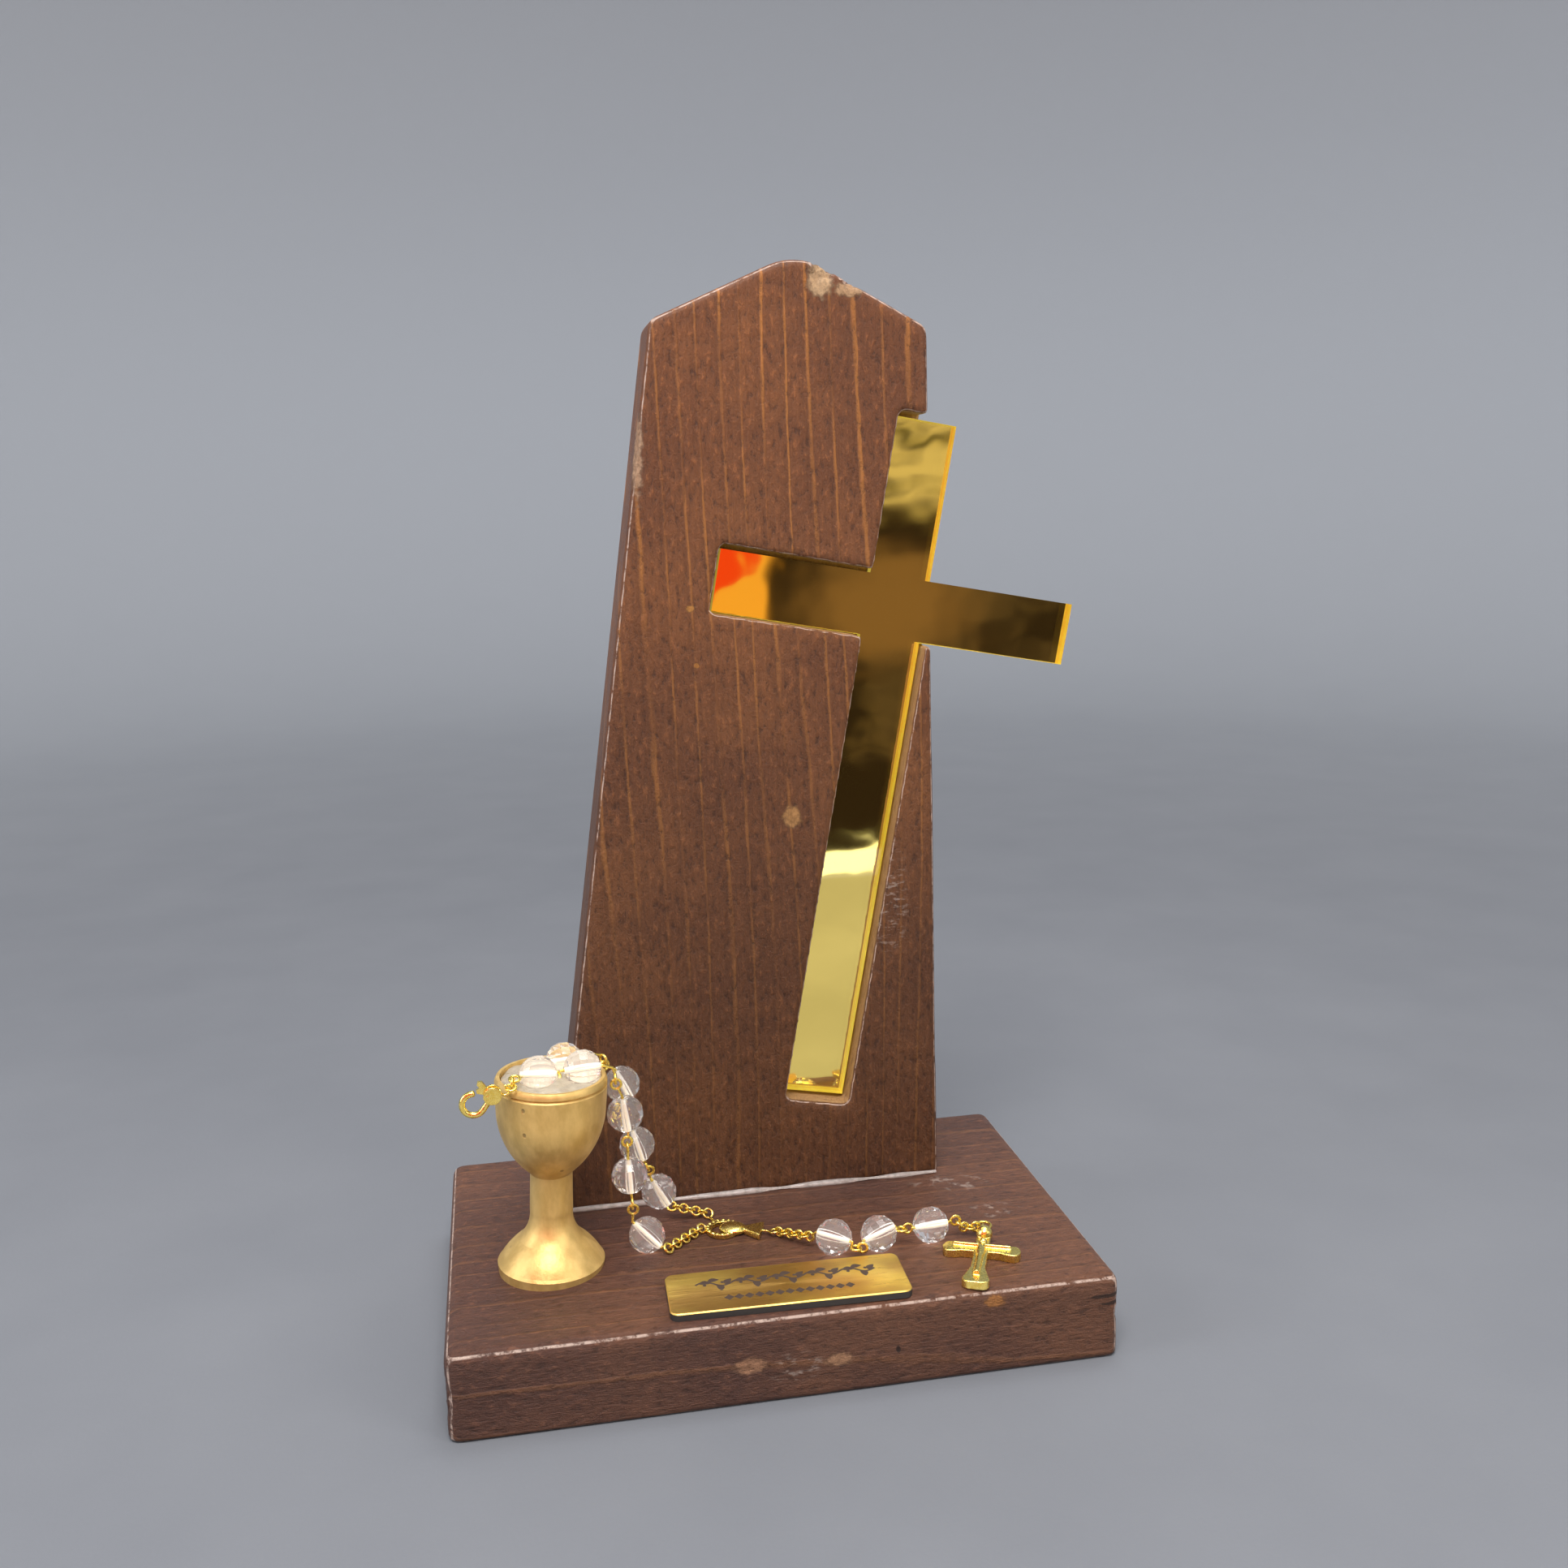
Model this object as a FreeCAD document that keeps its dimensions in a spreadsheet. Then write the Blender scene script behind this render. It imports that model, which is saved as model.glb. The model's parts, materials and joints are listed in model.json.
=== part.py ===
import FreeCAD, Part
import Sketcher
import os
from math import atan2, cos, pi, radians, sin, sqrt
from FreeCAD import Placement, Rotation, Vector as V

# First Communion keepsake stand: a wooden L with a gold mirror cross let into its back board,
# a chalice, a name plate and a bead rosary. Millimetres; origin at the middle of the underside,
# +X to the right, +Y to the back, +Z up.

doc = FreeCAD.newDocument("keepsake_stand")
UP = V(0, 0, 1)
X, Y = V(1, 0, 0), V(0, 1, 0)

# ---------------------------------------------------------------- sizes
SIZES = {
    # base and back board: planed 1x4 board
    "base_width": 139.4, "board_depth": 89.0, "board_thick": 18.7,
    "base_round": 2.4, "base_under_round": 0.8,
    "board_front": 11.5, "board_round": 1.6, "peak_round": 14.0, "shoulder_round": 3.0,
    "foot_left": -45.5, "foot_right": 46.8, "shoulder_left": -16.4, "shoulder_right": 44.8,
    "shoulder_left_height": 199.7, "shoulder_right_height": 198.3,
    "peak_across": 15.7, "peak_height": 213.7,
    # cross and the recess it sits in
    "cross_width": 14.2, "cross_up": 42.2, "cross_down": 116.8, "cross_left": 41.8,
    "cross_right": 42.2, "cross_thick": 3.0, "mirror_thick": 0.15, "cross_sunk": 4.5,
    "recess_depth": 8.0, "gap_tight": 0.5, "gap_loose": 1.0, "adhesive_width": 9.0,
    "adhesive_length": 100.0, "adhesive_thick": 0.35,
    # name plate
    "plate_width": 50.0, "plate_height": 16.0, "plate_corner": 1.8, "core_thick": 1.35,
    "face_thick": 0.3, "face_bevel": 0.22,
    # chalice
    "foot_radius": 11.45, "foot_lip": 2.2, "foot_crown": 16.0, "flare_radius": 6.9,
    "flare_height": 6.8, "flare_top": 13.2, "flare_curve": 8.0, "rim_roll": 2.2,
    "stem_radius": 4.5, "stem_top": 21.6, "bowl_start": 5.0, "bowl_curve": 19.0,
    "bowl_radius": 11.6, "bowl_height": 36.0, "rim_radius": 11.85, "groove_height": 41.6,
    "groove_depth": 0.45, "cup_height": 43.3, "cup_inside": 10.75, "cup_floor": 29.5,
    "cup_floor_radius": 6.0, "foot_sunk": 1.0,
    # beads, wire and chain
    "bead_radius": 4.0, "bore_radius": 0.37, "wire_radius": 0.30, "loop_radius": 1.05,
    "link_radius": 1.0, "link_wire": 0.27, "jump_radius": 1.6,
    # crucifix
    "rood_thick": 1.8, "rood_arm": 8.3, "rood_top": 5.2, "rood_foot": 14.4, "rood_half": 1.5,
    "rood_flare": 2.1, "rood_foot_flare": 2.9, "rood_lobe": 1.6, "knob_radius": 1.8,
    # clasp
    "hook_radius": 2.3, "hook_wire": 0.66, "clasp_thick": 2.4, "cheek_radius": 1.85, "rivet_radius": 0.35,
    "rivet_bore": 0.41, "lever_thick": 0.9,
    # glue line
    "glue_radius": 1.0,
}

sheet = doc.addObject("Spreadsheet::Sheet", "Sizes")
for row, (alias, value) in enumerate(SIZES.items(), start=1):
    sheet.set("A%d" % row, alias)
    sheet.set("B%d" % row, str(value))
    sheet.setAlias("B%d" % row, alias)
doc.recompute()
S = SIZES


def bind(thing, **props):
    """Tie properties of a feature to expressions over the size sheet."""
    for prop, expression in props.items():
        names = sorted(SIZES, key=len, reverse=True)
        text = " ".join(("Sizes." + w) if w in names else w for w in expression.split())
        thing.setExpression(prop, text)
    return thing


def place(thing, at=V(0, 0, 0), turn=Rotation()):
    thing.Placement = Placement(V(at), turn)
    return thing


# ---------------------------------------------------------------- sketch helpers
def value_of(term):
    """Number for a sketch coordinate: a plain number or words over the size sheet."""
    if not isinstance(term, str):
        return float(term)
    total, sign = 0.0, 1.0
    for word in term.split():
        if word in "+-":
            sign = 1.0 if word == "+" else -1.0
        else:
            total += sign * (SIZES[word] if word in SIZES else float(word))
    return total


def outline(body, name, corners, height=None):
    """Closed sketch on the body's XY plane. A corner is (x, y) or (x, y, r): with r the edge that
    leaves the corner is an arc of that radius, bulging to the right of travel when r is positive."""
    sketch = body.newObject("Sketcher::SketchObject", name)
    sketch.AttachmentSupport = [(body.Origin.OriginFeatures[3], "")]
    sketch.MapMode = "FlatFace"
    if height:
        sketch.setExpression("AttachmentOffset.Base.z", height)
    points = [V(value_of(c[0]), value_of(c[1]), 0) for c in corners]
    count = len(points)
    for i, corner in enumerate(corners):
        a, b = points[i], points[(i + 1) % count]
        if len(corner) > 2:
            radius = value_of(corner[2].lstrip("-") if isinstance(corner[2], str) else abs(corner[2]))
            side = -1 if str(corner[2]).startswith("-") else 1
            sketch.addGeometry(_arc(a, b, radius, side), False)
        else:
            sketch.addGeometry(Part.LineSegment(a, b), False)
    for i, corner in enumerate(corners):
        start = _end(sketch, i, points[i])
        for axis, kind in ((0, "DistanceX"), (1, "DistanceY")):
            at = sketch.addConstraint(_distance(kind, i, start, points[i][axis]))
            tag = "%s%d" % ("xy"[axis], i)
            sketch.renameConstraint(at, tag)
            if isinstance(corner[axis], str):
                words = " ".join(("Sizes." + w) if w in SIZES else w for w in corner[axis].split())
                if words.startswith("- "):
                    words = "0 " + words
                sketch.setExpression("Constraints." + tag, words)
        if len(corner) > 2:
            radius = value_of(corner[2].lstrip("-") if isinstance(corner[2], str) else abs(corner[2]))
            at = sketch.addConstraint(constraint("Radius", i, radius))
            sketch.renameConstraint(at, "r%d" % i)
            if isinstance(corner[2], str) and corner[2].lstrip("-") in SIZES:
                sketch.setExpression("Constraints.r%d" % i, "Sizes." + corner[2].lstrip("-"))
    for i in range(count):
        j = (i + 1) % count
        sketch.addConstraint(_join(sketch, i, j, points[j]))
    return sketch


def _arc(a, b, radius, side):
    """Arc between two points, anticlockwise in its own order whichever way it is travelled."""
    chord = b - a
    right = V(chord.y, -chord.x, 0).normalize()
    depth = sqrt(max(radius ** 2 - (chord.Length / 2) ** 2, 0))
    centre = (a + b) * 0.5 - right * (side * depth)
    first, last = (a, b) if side > 0 else (b, a)
    start = atan2(first.y - centre.y, first.x - centre.x)
    end = atan2(last.y - centre.y, last.x - centre.x)
    if end < start:
        end += 2 * pi
    return Part.ArcOfCircle(Part.Circle(centre, UP, radius), start, end)


def constraint(*args):
    return Sketcher.Constraint(*args)


def _distance(kind, geo, vertex, value):
    return constraint(kind, -1, 1, geo, vertex, value)


def _end(sketch, geo, point):
    edge = sketch.Geometry[geo]
    return 1 if (edge.StartPoint - point).Length < (edge.EndPoint - point).Length else 2


def _join(sketch, first, second, point):
    return constraint("Coincident", first, _end(sketch, first, point),
                               second, _end(sketch, second, point))


def new_body(name):
    return doc.addObject("PartDesign::Body", name)


def pad(body, sketch, length, name="Pad"):
    feature = body.newObject("PartDesign::Pad", name)
    feature.Profile = sketch
    bind(feature, Length=length)
    doc.recompute()
    return feature


def pocket(body, sketch, length, name="Pocket"):
    feature = body.newObject("PartDesign::Pocket", name)
    feature.Profile = sketch
    bind(feature, Length=length)
    doc.recompute()
    return feature


def soften(body, base, radius, chosen, name="Fillet", kind="PartDesign::Fillet", prop="Radius"):
    """Fillet or chamfer the edges of base that the test picks."""
    edges = ["Edge%d" % (n + 1) for n, e in enumerate(base.Shape.Edges) if chosen(e)]
    feature = body.newObject(kind, name)
    feature.Base = (base, edges)
    bind(feature, **{prop: radius})
    doc.recompute()
    return feature


def mid(edge):
    return edge.valueAt((edge.FirstParameter + edge.LastParameter) / 2)


FACE_UP = Rotation(X, 90)          # sketch x, y, z become X, Z, -Y
nodes = []

# ---------------------------------------------------------------- base board
base = new_body("base_board")
base_top = S["board_thick"]
plan = outline(base, "BasePlan", [
    (-S["base_width"] / 2, -S["board_depth"] / 2), (S["base_width"] / 2, -S["board_depth"] / 2),
    (S["base_width"] / 2, S["board_depth"] / 2), (-S["base_width"] / 2, S["board_depth"] / 2)])
for tag, words in (("x0", "-Sizes.base_width / 2"), ("x1", "Sizes.base_width / 2"),
                   ("x2", "Sizes.base_width / 2"), ("x3", "-Sizes.base_width / 2"),
                   ("y0", "-Sizes.board_depth / 2"), ("y1", "-Sizes.board_depth / 2"),
                   ("y2", "Sizes.board_depth / 2"), ("y3", "Sizes.board_depth / 2")):
    plan.setExpression("Constraints." + tag, words)
slab = pad(base, plan, "board_thick")
eased = soften(base, slab, "base_round", lambda e: mid(e).z > 1)
soften(base, eased, "base_under_round",
       lambda e: mid(e).z < 0.01 and e.Length > 10, name="UnderFillet")
nodes.append(base)

# ---------------------------------------------------------------- back board with the recess
back = new_body("back_board")
board_back = S["board_front"] + S["board_thick"]
place(back, V(0, board_back, base_top), FACE_UP)
face = outline(back, "BoardFace", [
    ("foot_left", 0), ("foot_right", 0), ("shoulder_right", "shoulder_right_height"),
    ("peak_across", "peak_height"), ("shoulder_left", "shoulder_left_height")])
slab = pad(back, face, "board_thick")


def depth_edge(edge, low, high):
    """True for an edge that runs through the board's thickness between two heights."""
    return abs(edge.tangentAt(edge.FirstParameter).z) > 0.9 and low < mid(edge).y < high


crest = (S["shoulder_left_height"] + S["peak_height"]) / 2
rounded = soften(back, slab, "peak_round", lambda e: depth_edge(e, crest, 999), name="Crest")
rounded = soften(back, rounded, "shoulder_round", lambda e: depth_edge(e, 1, crest), name="Shoulders")
eased = soften(back, rounded, "board_round",
               lambda e: mid(e).y > 1 and abs(mid(e).z - S["board_thick"] / 2) > 1)

TILT = 10.35
CROSS_AT = V(38.0, 0, 155.5 - base_top)     # centre of the crossing, above the base top
lean = radians(TILT)


def on_cross(right, up):
    """Cross coordinates to board-face coordinates."""
    return (CROSS_AT.x + right * cos(lean) + up * sin(lean),
            CROSS_AT.z - right * sin(lean) + up * cos(lean))


half, tight, loose = S["cross_width"] / 2, S["gap_tight"], S["gap_loose"]
recess = outline(back, "RecessFace", [on_cross(r, u) for r, u in (
    (-half - tight, -S["cross_down"] - loose), (half + loose * 0.7, -S["cross_down"] - loose),
    (half + tight, -half - tight * 0.4), (S["cross_right"] + 6, -half - tight * 0.4),
    (S["cross_right"] + 6, half + tight), (half + tight, half + tight),
    (half + tight, S["cross_up"] + loose), (-half - tight, S["cross_up"] + loose),
    (-half - tight, half + loose * 0.8), (-S["cross_left"] - loose, half + loose * 1.1),
    (-S["cross_left"] - loose, -half - tight * 0.4), (-half - tight, -half - tight * 0.4))],
    height="Sizes.board_thick")
pocket(back, recess, "recess_depth", name="Recess")
nodes.append(back)

# ---------------------------------------------------------------- cross: acrylic, mirror, adhesive
CROSS_TURN = Rotation(Y, TILT).multiply(FACE_UP)
CROSS_OUTLINE = [
    ("- half_arm", "- cross_down"), ("half_arm", "- cross_down"), ("half_arm", "- half_arm"),
    ("cross_right", "- half_arm"), ("cross_right", "half_arm"), ("half_arm", "half_arm"),
    ("half_arm", "cross_up"), ("- half_arm", "cross_up"), ("- half_arm", "half_arm"),
    ("- cross_left", "half_arm"), ("- cross_left", "- half_arm"), ("- half_arm", "- half_arm")]
row += 1
SIZES["half_arm"] = half
sheet.set("A%d" % row, "half_arm")
sheet.set("B%d" % row, "=cross_width / 2")
sheet.setAlias("B%d" % row, "half_arm")
doc.recompute()


def cross_layer(name, thick, front):
    layer = new_body(name)
    depth = S["board_front"] + front + S[thick]
    place(layer, V(CROSS_AT.x, depth, CROSS_AT.z + base_top), CROSS_TURN)
    solid = pad(layer, outline(layer, name + "_face", CROSS_OUTLINE), thick)
    nodes.append(layer)
    return layer, solid


cross_layer("cross_plate", "cross_thick", S["cross_sunk"])
cross_layer("cross_mirror", "mirror_thick", S["cross_sunk"] + S["cross_thick"])
strip = doc.addObject("Part::Box", "cross_adhesive")
bind(strip, Length="adhesive_width", Width="adhesive_thick", Height="adhesive_length")
strip_front = S["board_front"] + S["cross_sunk"] + S["cross_thick"] + S["mirror_thick"]
low_x, low_z = on_cross(-S["adhesive_width"] / 2, -S["cross_down"] + 5)
place(strip, V(low_x, strip_front, low_z + base_top), Rotation(Y, TILT))
nodes.append(strip)

# ---------------------------------------------------------------- glue line at the foot of the board
glue = doc.addObject("Part::Cylinder", "joint_glue")
bind(glue, Radius="glue_radius", Height="foot_right - foot_left - 1")
glue.Angle = 90
place(glue, V(S["foot_left"] + 0.5, S["board_front"], base_top),
      Rotation(V(0, 0, 1), V(0, -1, 0), V(1, 0, 0), "ZYX"))
nodes.append(glue)

# ---------------------------------------------------------------- name plate
PLATE_AT, PLATE_TURN = V(0.2, -34.5, base_top), Rotation(UP, -1.8)


def plate_layer(name, thick, at):
    layer = new_body(name)
    place(layer, at, PLATE_TURN)
    w, h = S["plate_width"] / 2, S["plate_height"] / 2
    sketch = outline(layer, name + "_plan", [(-w, -h), (w, -h), (w, h), (-w, h)])
    for tag, words in (("x0", "-Sizes.plate_width / 2"), ("x1", "Sizes.plate_width / 2"),
                       ("x2", "Sizes.plate_width / 2"), ("x3", "-Sizes.plate_width / 2"),
                       ("y0", "-Sizes.plate_height / 2"), ("y1", "-Sizes.plate_height / 2"),
                       ("y2", "Sizes.plate_height / 2"), ("y3", "Sizes.plate_height / 2")):
        sketch.setExpression("Constraints." + tag, words)
    solid = pad(layer, sketch, thick)
    rounded = soften(layer, solid, "plate_corner",
                     lambda e: abs(e.tangentAt(e.FirstParameter).z) > 0.9, name=name + "_corners")
    nodes.append(layer)
    return layer, rounded


plate_layer("plaque_core", "core_thick", PLATE_AT)
skin, flat = plate_layer("plaque_face", "face_thick", PLATE_AT + V(0, 0, S["core_thick"]))
soften(skin, flat, "face_bevel", lambda e: mid(e).z > S["face_thick"] - 0.01,
       name="Bevel", kind="PartDesign::Chamfer", prop="Size")

# ---------------------------------------------------------------- chalice, leaning a little
CUP_AT, CUP_LEAN = V(-47.5, -12.5, base_top), 2.6
cup_turn = Rotation(Y, CUP_LEAN)
CUP_FRAME = Placement(CUP_AT, cup_turn)


def turned(name, corners, frame):
    """Body of revolution: the profile is drawn as radius, height and spun about the height."""
    spun = new_body(name)
    spun.Placement = Placement(frame.Base, frame.Rotation.multiply(FACE_UP))
    sketch = outline(spun, name + "_profile", corners)
    feature = spun.newObject("PartDesign::Revolution", name + "_spin")
    feature.Profile = sketch
    feature.ReferenceAxis = (sketch, ["V_Axis"])
    feature.Angle = 360
    doc.recompute()
    return spun


turned("chalice_stock", [
    (0, "- foot_sunk"), ("foot_radius - 0.3", "- foot_sunk"), ("foot_radius", "foot_lip - 0.6"),
    ("foot_radius - 0.45", "foot_lip", "foot_crown"), ("flare_radius", "flare_height", "-flare_curve"),
    ("stem_radius + 0.1", "flare_top"),
    ("stem_radius", "stem_top"), ("bowl_start", "stem_top + 0.7", "bowl_curve"),
    ("bowl_radius", "bowl_height"), ("rim_radius", "groove_height - 0.4"),
    ("rim_radius - groove_depth", "groove_height"), ("rim_radius", "groove_height + 0.4", "rim_roll"),
    ("rim_radius - 0.45", "cup_height"),
    ("cup_inside", "cup_height"), ("cup_inside - 0.5", "bowl_height + 0.5", "-bowl_curve"),
    ("cup_floor_radius", "cup_floor"), (0, "cup_floor")], CUP_FRAME)
stock = doc.getObject("chalice_stock")
below = doc.addObject("Part::Box", "bench_cut")
bind(below, Length="foot_radius * 3", Width="foot_radius * 3", Height="foot_sunk * 3")
place(below, V(CUP_AT.x - S["foot_radius"] * 1.5, CUP_AT.y - S["foot_radius"] * 1.5,
               base_top - S["foot_sunk"] * 3))
chalice = doc.addObject("Part::Cut", "chalice")
chalice.Base, chalice.Tool = stock, below
nodes.append(chalice)

# ---------------------------------------------------------------- beads and eye pins
# Each bead: centre, loop before it, loop after it (centre, normal), and wire points between the
# bead and a loop where the wire bends over the cup's rim.
GAP = 1.4


def toward(start, end):
    return (end - start).normalize()


front = [V(-48.3, -15.0, 63.2), V(-39.0, -14.5, 63.5), V(-30.2, -11.0, 51.0),
         V(-29.8, -11.0, 36.7), V(-26.6, -11.8, base_top + 4.02)]
behind = [V(-22.5, 0.2, 26.8), V(-27.3, -3.0, 40.1), V(-30.0, -2.5, 54.4),
          V(-42.5, -6.4, 62.5), V(-48.6, -8.5, 55.6)]
tail = [V(13.0, -22.2, base_top + 4.02), V(22.8, -22.9, base_top + 4.02),
        V(34.9, -21.7, base_top + 4.02)]


def between(first, second, flat_first):
    """Two interlocked loops midway between two beads, in planes square to each other."""
    line = toward(first, second)
    middle = (first + second) * 0.5
    side = line.cross(UP if abs(line.z) < 0.9 else Y).normalize()
    other = line.cross(side).normalize()
    one, two = (other, side) if flat_first else (side, other)
    return (middle - line * (GAP / 2), one), (middle + line * (GAP / 2), two)


f34 = between(front[2], front[3], True)
f45 = ((V(-29.45, -11.0, 30.1), X), (V(-29.35, -11.1, 28.72), Y))
b54 = between(behind[0], behind[1], True)
b43 = between(behind[1], behind[2], True)
rim_front = ((V(-32.1, -12.7, 59.8), X), (V(-31.95, -12.5, 58.45), Y))
rim_back = ((V(-34.0, -4.9, 61.3), V(1, 0.7, 0)), (V(-33.75, -4.75, 59.95), V(-0.7, 1, 0)))
low_front, low_back = V(-22.1, -13.2, base_top + 1.1), V(-19.6, 1.6, 22.2)
cup_gap = (V(-43.75, -14.75, 61.6), X)
tail_in = (V(8.34, -18.17, 21.5), None)
tail_12 = ((V(17.2, -25.07, 21.1), UP), (V(18.5, -25.5, 21.3), None))
tail_23 = ((V(28.2, -22.1, 22.72), UP), (V(29.56, -22.0, 22.72), None))
tail_out = (V(40.84, -20.86, 22.72), None)


PITCH, LEAD = 1.36, 1.38


def run_of(start, end, lead, tail_lead):
    """Link centres between two loops: lead is the first step, tail_lead the last."""
    line = toward(start, end)
    length = (end - start).Length - lead - tail_lead
    count = max(1, round(length / PITCH))
    return [start + line * (lead + length * n / count) for n in range(count + 1)]


def crossed(points, first):
    """Normals for loops and links in a row, each plane square to the one before it."""
    normals = [V(first)]
    for n in range(1, len(points)):
        ahead = points[min(n + 1, len(points) - 1)] - points[n - 1]
        turn = ahead.cross(normals[-1]).normalize()
        normals.append(turn)
    return normals


def lying(start, end):
    """A chain along the wood from loop to loop, its links leaning half over each way."""
    points = [start] + run_of(start, end, LEAD, LEAD) + [end]
    for point in points[1:-1]:
        point.z = max(point.z, base_top + 1.04)
    points[1].z = max(points[1].z, start.z - 0.9)
    side = toward(start, points[1]).cross(UP).normalize()
    over = side.cross(toward(start, points[1])).normalize()
    return points, crossed(points, side + over)


def standing(loop, along):
    """Give a loop with no stated normal an upright plane that holds the chain's direction."""
    centre, normal = loop
    return (centre, normal if normal is not None else along.cross(UP).normalize())


chain_in = V(5.45, -15.0, 20.2)
tail_in = standing(tail_in, toward(chain_in, tail_in[0]))
tail_12 = (tail_12[0], standing(tail_12[1], toward(tail_12[0][0], tail_12[1][0])))
tail_23 = (tail_23[0], standing(tail_23[1], toward(tail_23[0][0], tail_23[1][0])))
tail_out = standing(tail_out, V(1, 0.05, 0))

MEDAL_LOW = V(-13.8, -5.9, 19.82)
MEDAL_HIGH = V(-11.4, 0.9, 19.82)
MEDAL_OUT = V(1.9, -10.9, 19.82)
lower, lower_turn = lying(low_front, MEDAL_LOW)
upper, upper_turn = lying(low_back, MEDAL_HIGH)
low_front, low_back = (low_front, lower_turn[0]), (low_back, upper_turn[0])
clasp_loop = (V(-53.1, -18.95, 64.2), V(0, -0.2, 1))

BEADS = [
    # number, centre, (loop, via points), (loop, via points), forced bore direction
    (1, front[0], (clasp_loop, []), (cup_gap, []), V(1, 0.2, -0.05)),
    (2, front[1], (None, []), (rim_front[0], [V(-34.2, -13.9, 63.3), V(-32.6, -13.2, 62.5)]),
     V(1, 0.12, 0)),
    (3, front[2], (rim_front[1], []), (f34[0], []), None),
    (4, front[3], (f34[1], []), (f45[0], []), None),
    (5, front[4], (f45[1], []), (low_front, []), V(0.66, -0.2, -0.66)),
    (6, behind[0], (low_back, []), (b54[0], []), None),
    (7, behind[1], (b54[1], []), (b43[0], []), None),
    (8, behind[2], (b43[1], []), (rim_back[1], []), None),
    (9, behind[3], (rim_back[0], [V(-35.9, -5.3, 62.9)]), (None, []), V(-1, -0.16, 0)),
    (10, behind[4], (None, []), (None, []), V(0.6, 0.1, 0.7)),
    (11, tail[0], (tail_in, []), (tail_12[0], []), None),
    (12, tail[1], (tail_12[1], []), (tail_23[0], []), None),
    (13, tail[2], (tail_23[1], []), (tail_out, []), None),
]


def torus(name, centre, normal, ring="loop_radius", wire="wire_radius"):
    loop = doc.addObject("Part::Torus", name)
    bind(loop, Radius1=ring, Radius2=wire)
    return place(loop, centre, Rotation(UP, V(normal)))


def rod(name, start, end, radius="wire_radius"):
    piece = doc.addObject("Part::Cylinder", name)
    bind(piece, Radius=radius)
    piece.Height = (end - start).Length
    return place(piece, start, Rotation(UP, end - start))


def ball(name, centre, radius="wire_radius"):
    piece = doc.addObject("Part::Sphere", name)
    bind(piece, Radius=radius)
    return place(piece, centre)


def join(name, pieces):
    whole = doc.addObject("Part::MultiFuse", name)
    whole.Shapes = pieces
    nodes.append(whole)
    return whole


def nearest_on_loop(loop, point):
    centre, normal = loop
    n = V(normal).normalize()
    reach = point - centre
    reach = reach - n * reach.dot(n)
    return centre + reach.normalize() * S["loop_radius"]


def wire_end(name, centre, axis, end):
    """Wire from the bead's middle out of one side, through its bends, to its loop."""
    loop, bends = end
    mouth = centre + axis * (4.3 if loop else 4.5)
    pieces, here = [rod(name + "_shank", centre, mouth), ball(name + "_mouth", mouth)], mouth
    if loop:
        for n, bend in enumerate(bends):
            pieces += [rod("%s_bend%d" % (name, n), here, bend), ball("%s_knee%d" % (name, n), bend)]
            here = bend
        pieces.append(rod(name + "_neck", here, nearest_on_loop(loop, here), "wire_radius * 0.93"))
        pieces.append(torus(name + "_eye", loop[0], loop[1]))
    return pieces


def bore_axis(centre, one, two, forced):
    if forced:
        return V(forced).normalize()
    return (toward(centre, two[0][0]) - toward(centre, one[0][0])).normalize()


AXES = {}
for number, centre, one, two, forced in BEADS:
    axis = bore_axis(centre, one, two, forced)
    AXES[number] = axis
    shell = doc.addObject("Part::Sphere", "bead_%02d_ball" % number)
    bind(shell, Radius="bead_radius")
    place(shell, centre)
    bore = doc.addObject("Part::Cylinder", "bead_%02d_bore" % number)
    bind(bore, Radius="bore_radius", Height="bead_radius * 3")
    place(bore, centre - axis * S["bead_radius"] * 1.5, Rotation(UP, axis))
    bead = doc.addObject("Part::Cut", "bead_%02d" % number)
    bead.Base, bead.Tool = shell, bore
    nodes.append(bead)
    tag = "pin_%02d" % number
    join("eye_" + tag, wire_end(tag + "_a", centre, axis * -1, one)
         + wire_end(tag + "_b", centre, axis, two))

# ---------------------------------------------------------------- chains
def links(name, points, normals):
    join(name, [torus("%s_%d" % (name, n), p, q, "link_radius", "link_wire")
                for n, (p, q) in enumerate(zip(points, normals))])


links("chain_lower", lower[1:-1], lower_turn[1:-1])
links("chain_upper", upper[1:-1], upper_turn[1:-1])
out = run_of(MEDAL_OUT, tail_in[0], LEAD, 1.40)
out_turn = crossed([tail_in[0]] + out[::-1] + [MEDAL_OUT], tail_in[1])
links("chain_tail", out, out_turn[1:-1][::-1])

heading, here, drape = V(0.999, 0.05, 0), tail_out[0], []
for step, fall in ((1.40, 45), (PITCH, 40), (PITCH, 12), (PITCH, 0)):
    here = here + heading * (step * cos(radians(fall))) - UP * (step * sin(radians(fall)))
    drape.append(here)
JUMP_AT = here + heading * 1.95
drape_turn = crossed([tail_out[0]] + drape + [JUMP_AT], tail_out[1])
links("chain_cross", drape, drape_turn[1:-1])
nodes.append(torus("jump_ring", JUMP_AT, UP, "jump_radius", "wire_radius"))

# ---------------------------------------------------------------- centrepiece
MEDAL_TURN = -20.0
MEDAL_AT = V(-6.4, -7.6, base_top + 0.1)
medal_frame = Placement(MEDAL_AT, Rotation(UP, MEDAL_TURN))


def in_medal(x, y, z):
    return medal_frame.multVec(V(x, y, z))


def washer(name, at, radius, height, inner):
    outer = doc.addObject("Part::Cylinder", name + "_disc")
    outer.Radius, outer.Height = radius, height
    place(outer, at)
    hole = doc.addObject("Part::Cylinder", name + "_hole")
    hole.Radius, hole.Height = inner, height + 2
    place(hole, at - UP)
    ring = doc.addObject("Part::Cut", name)
    ring.Base, ring.Tool = outer, hole
    return ring


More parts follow.
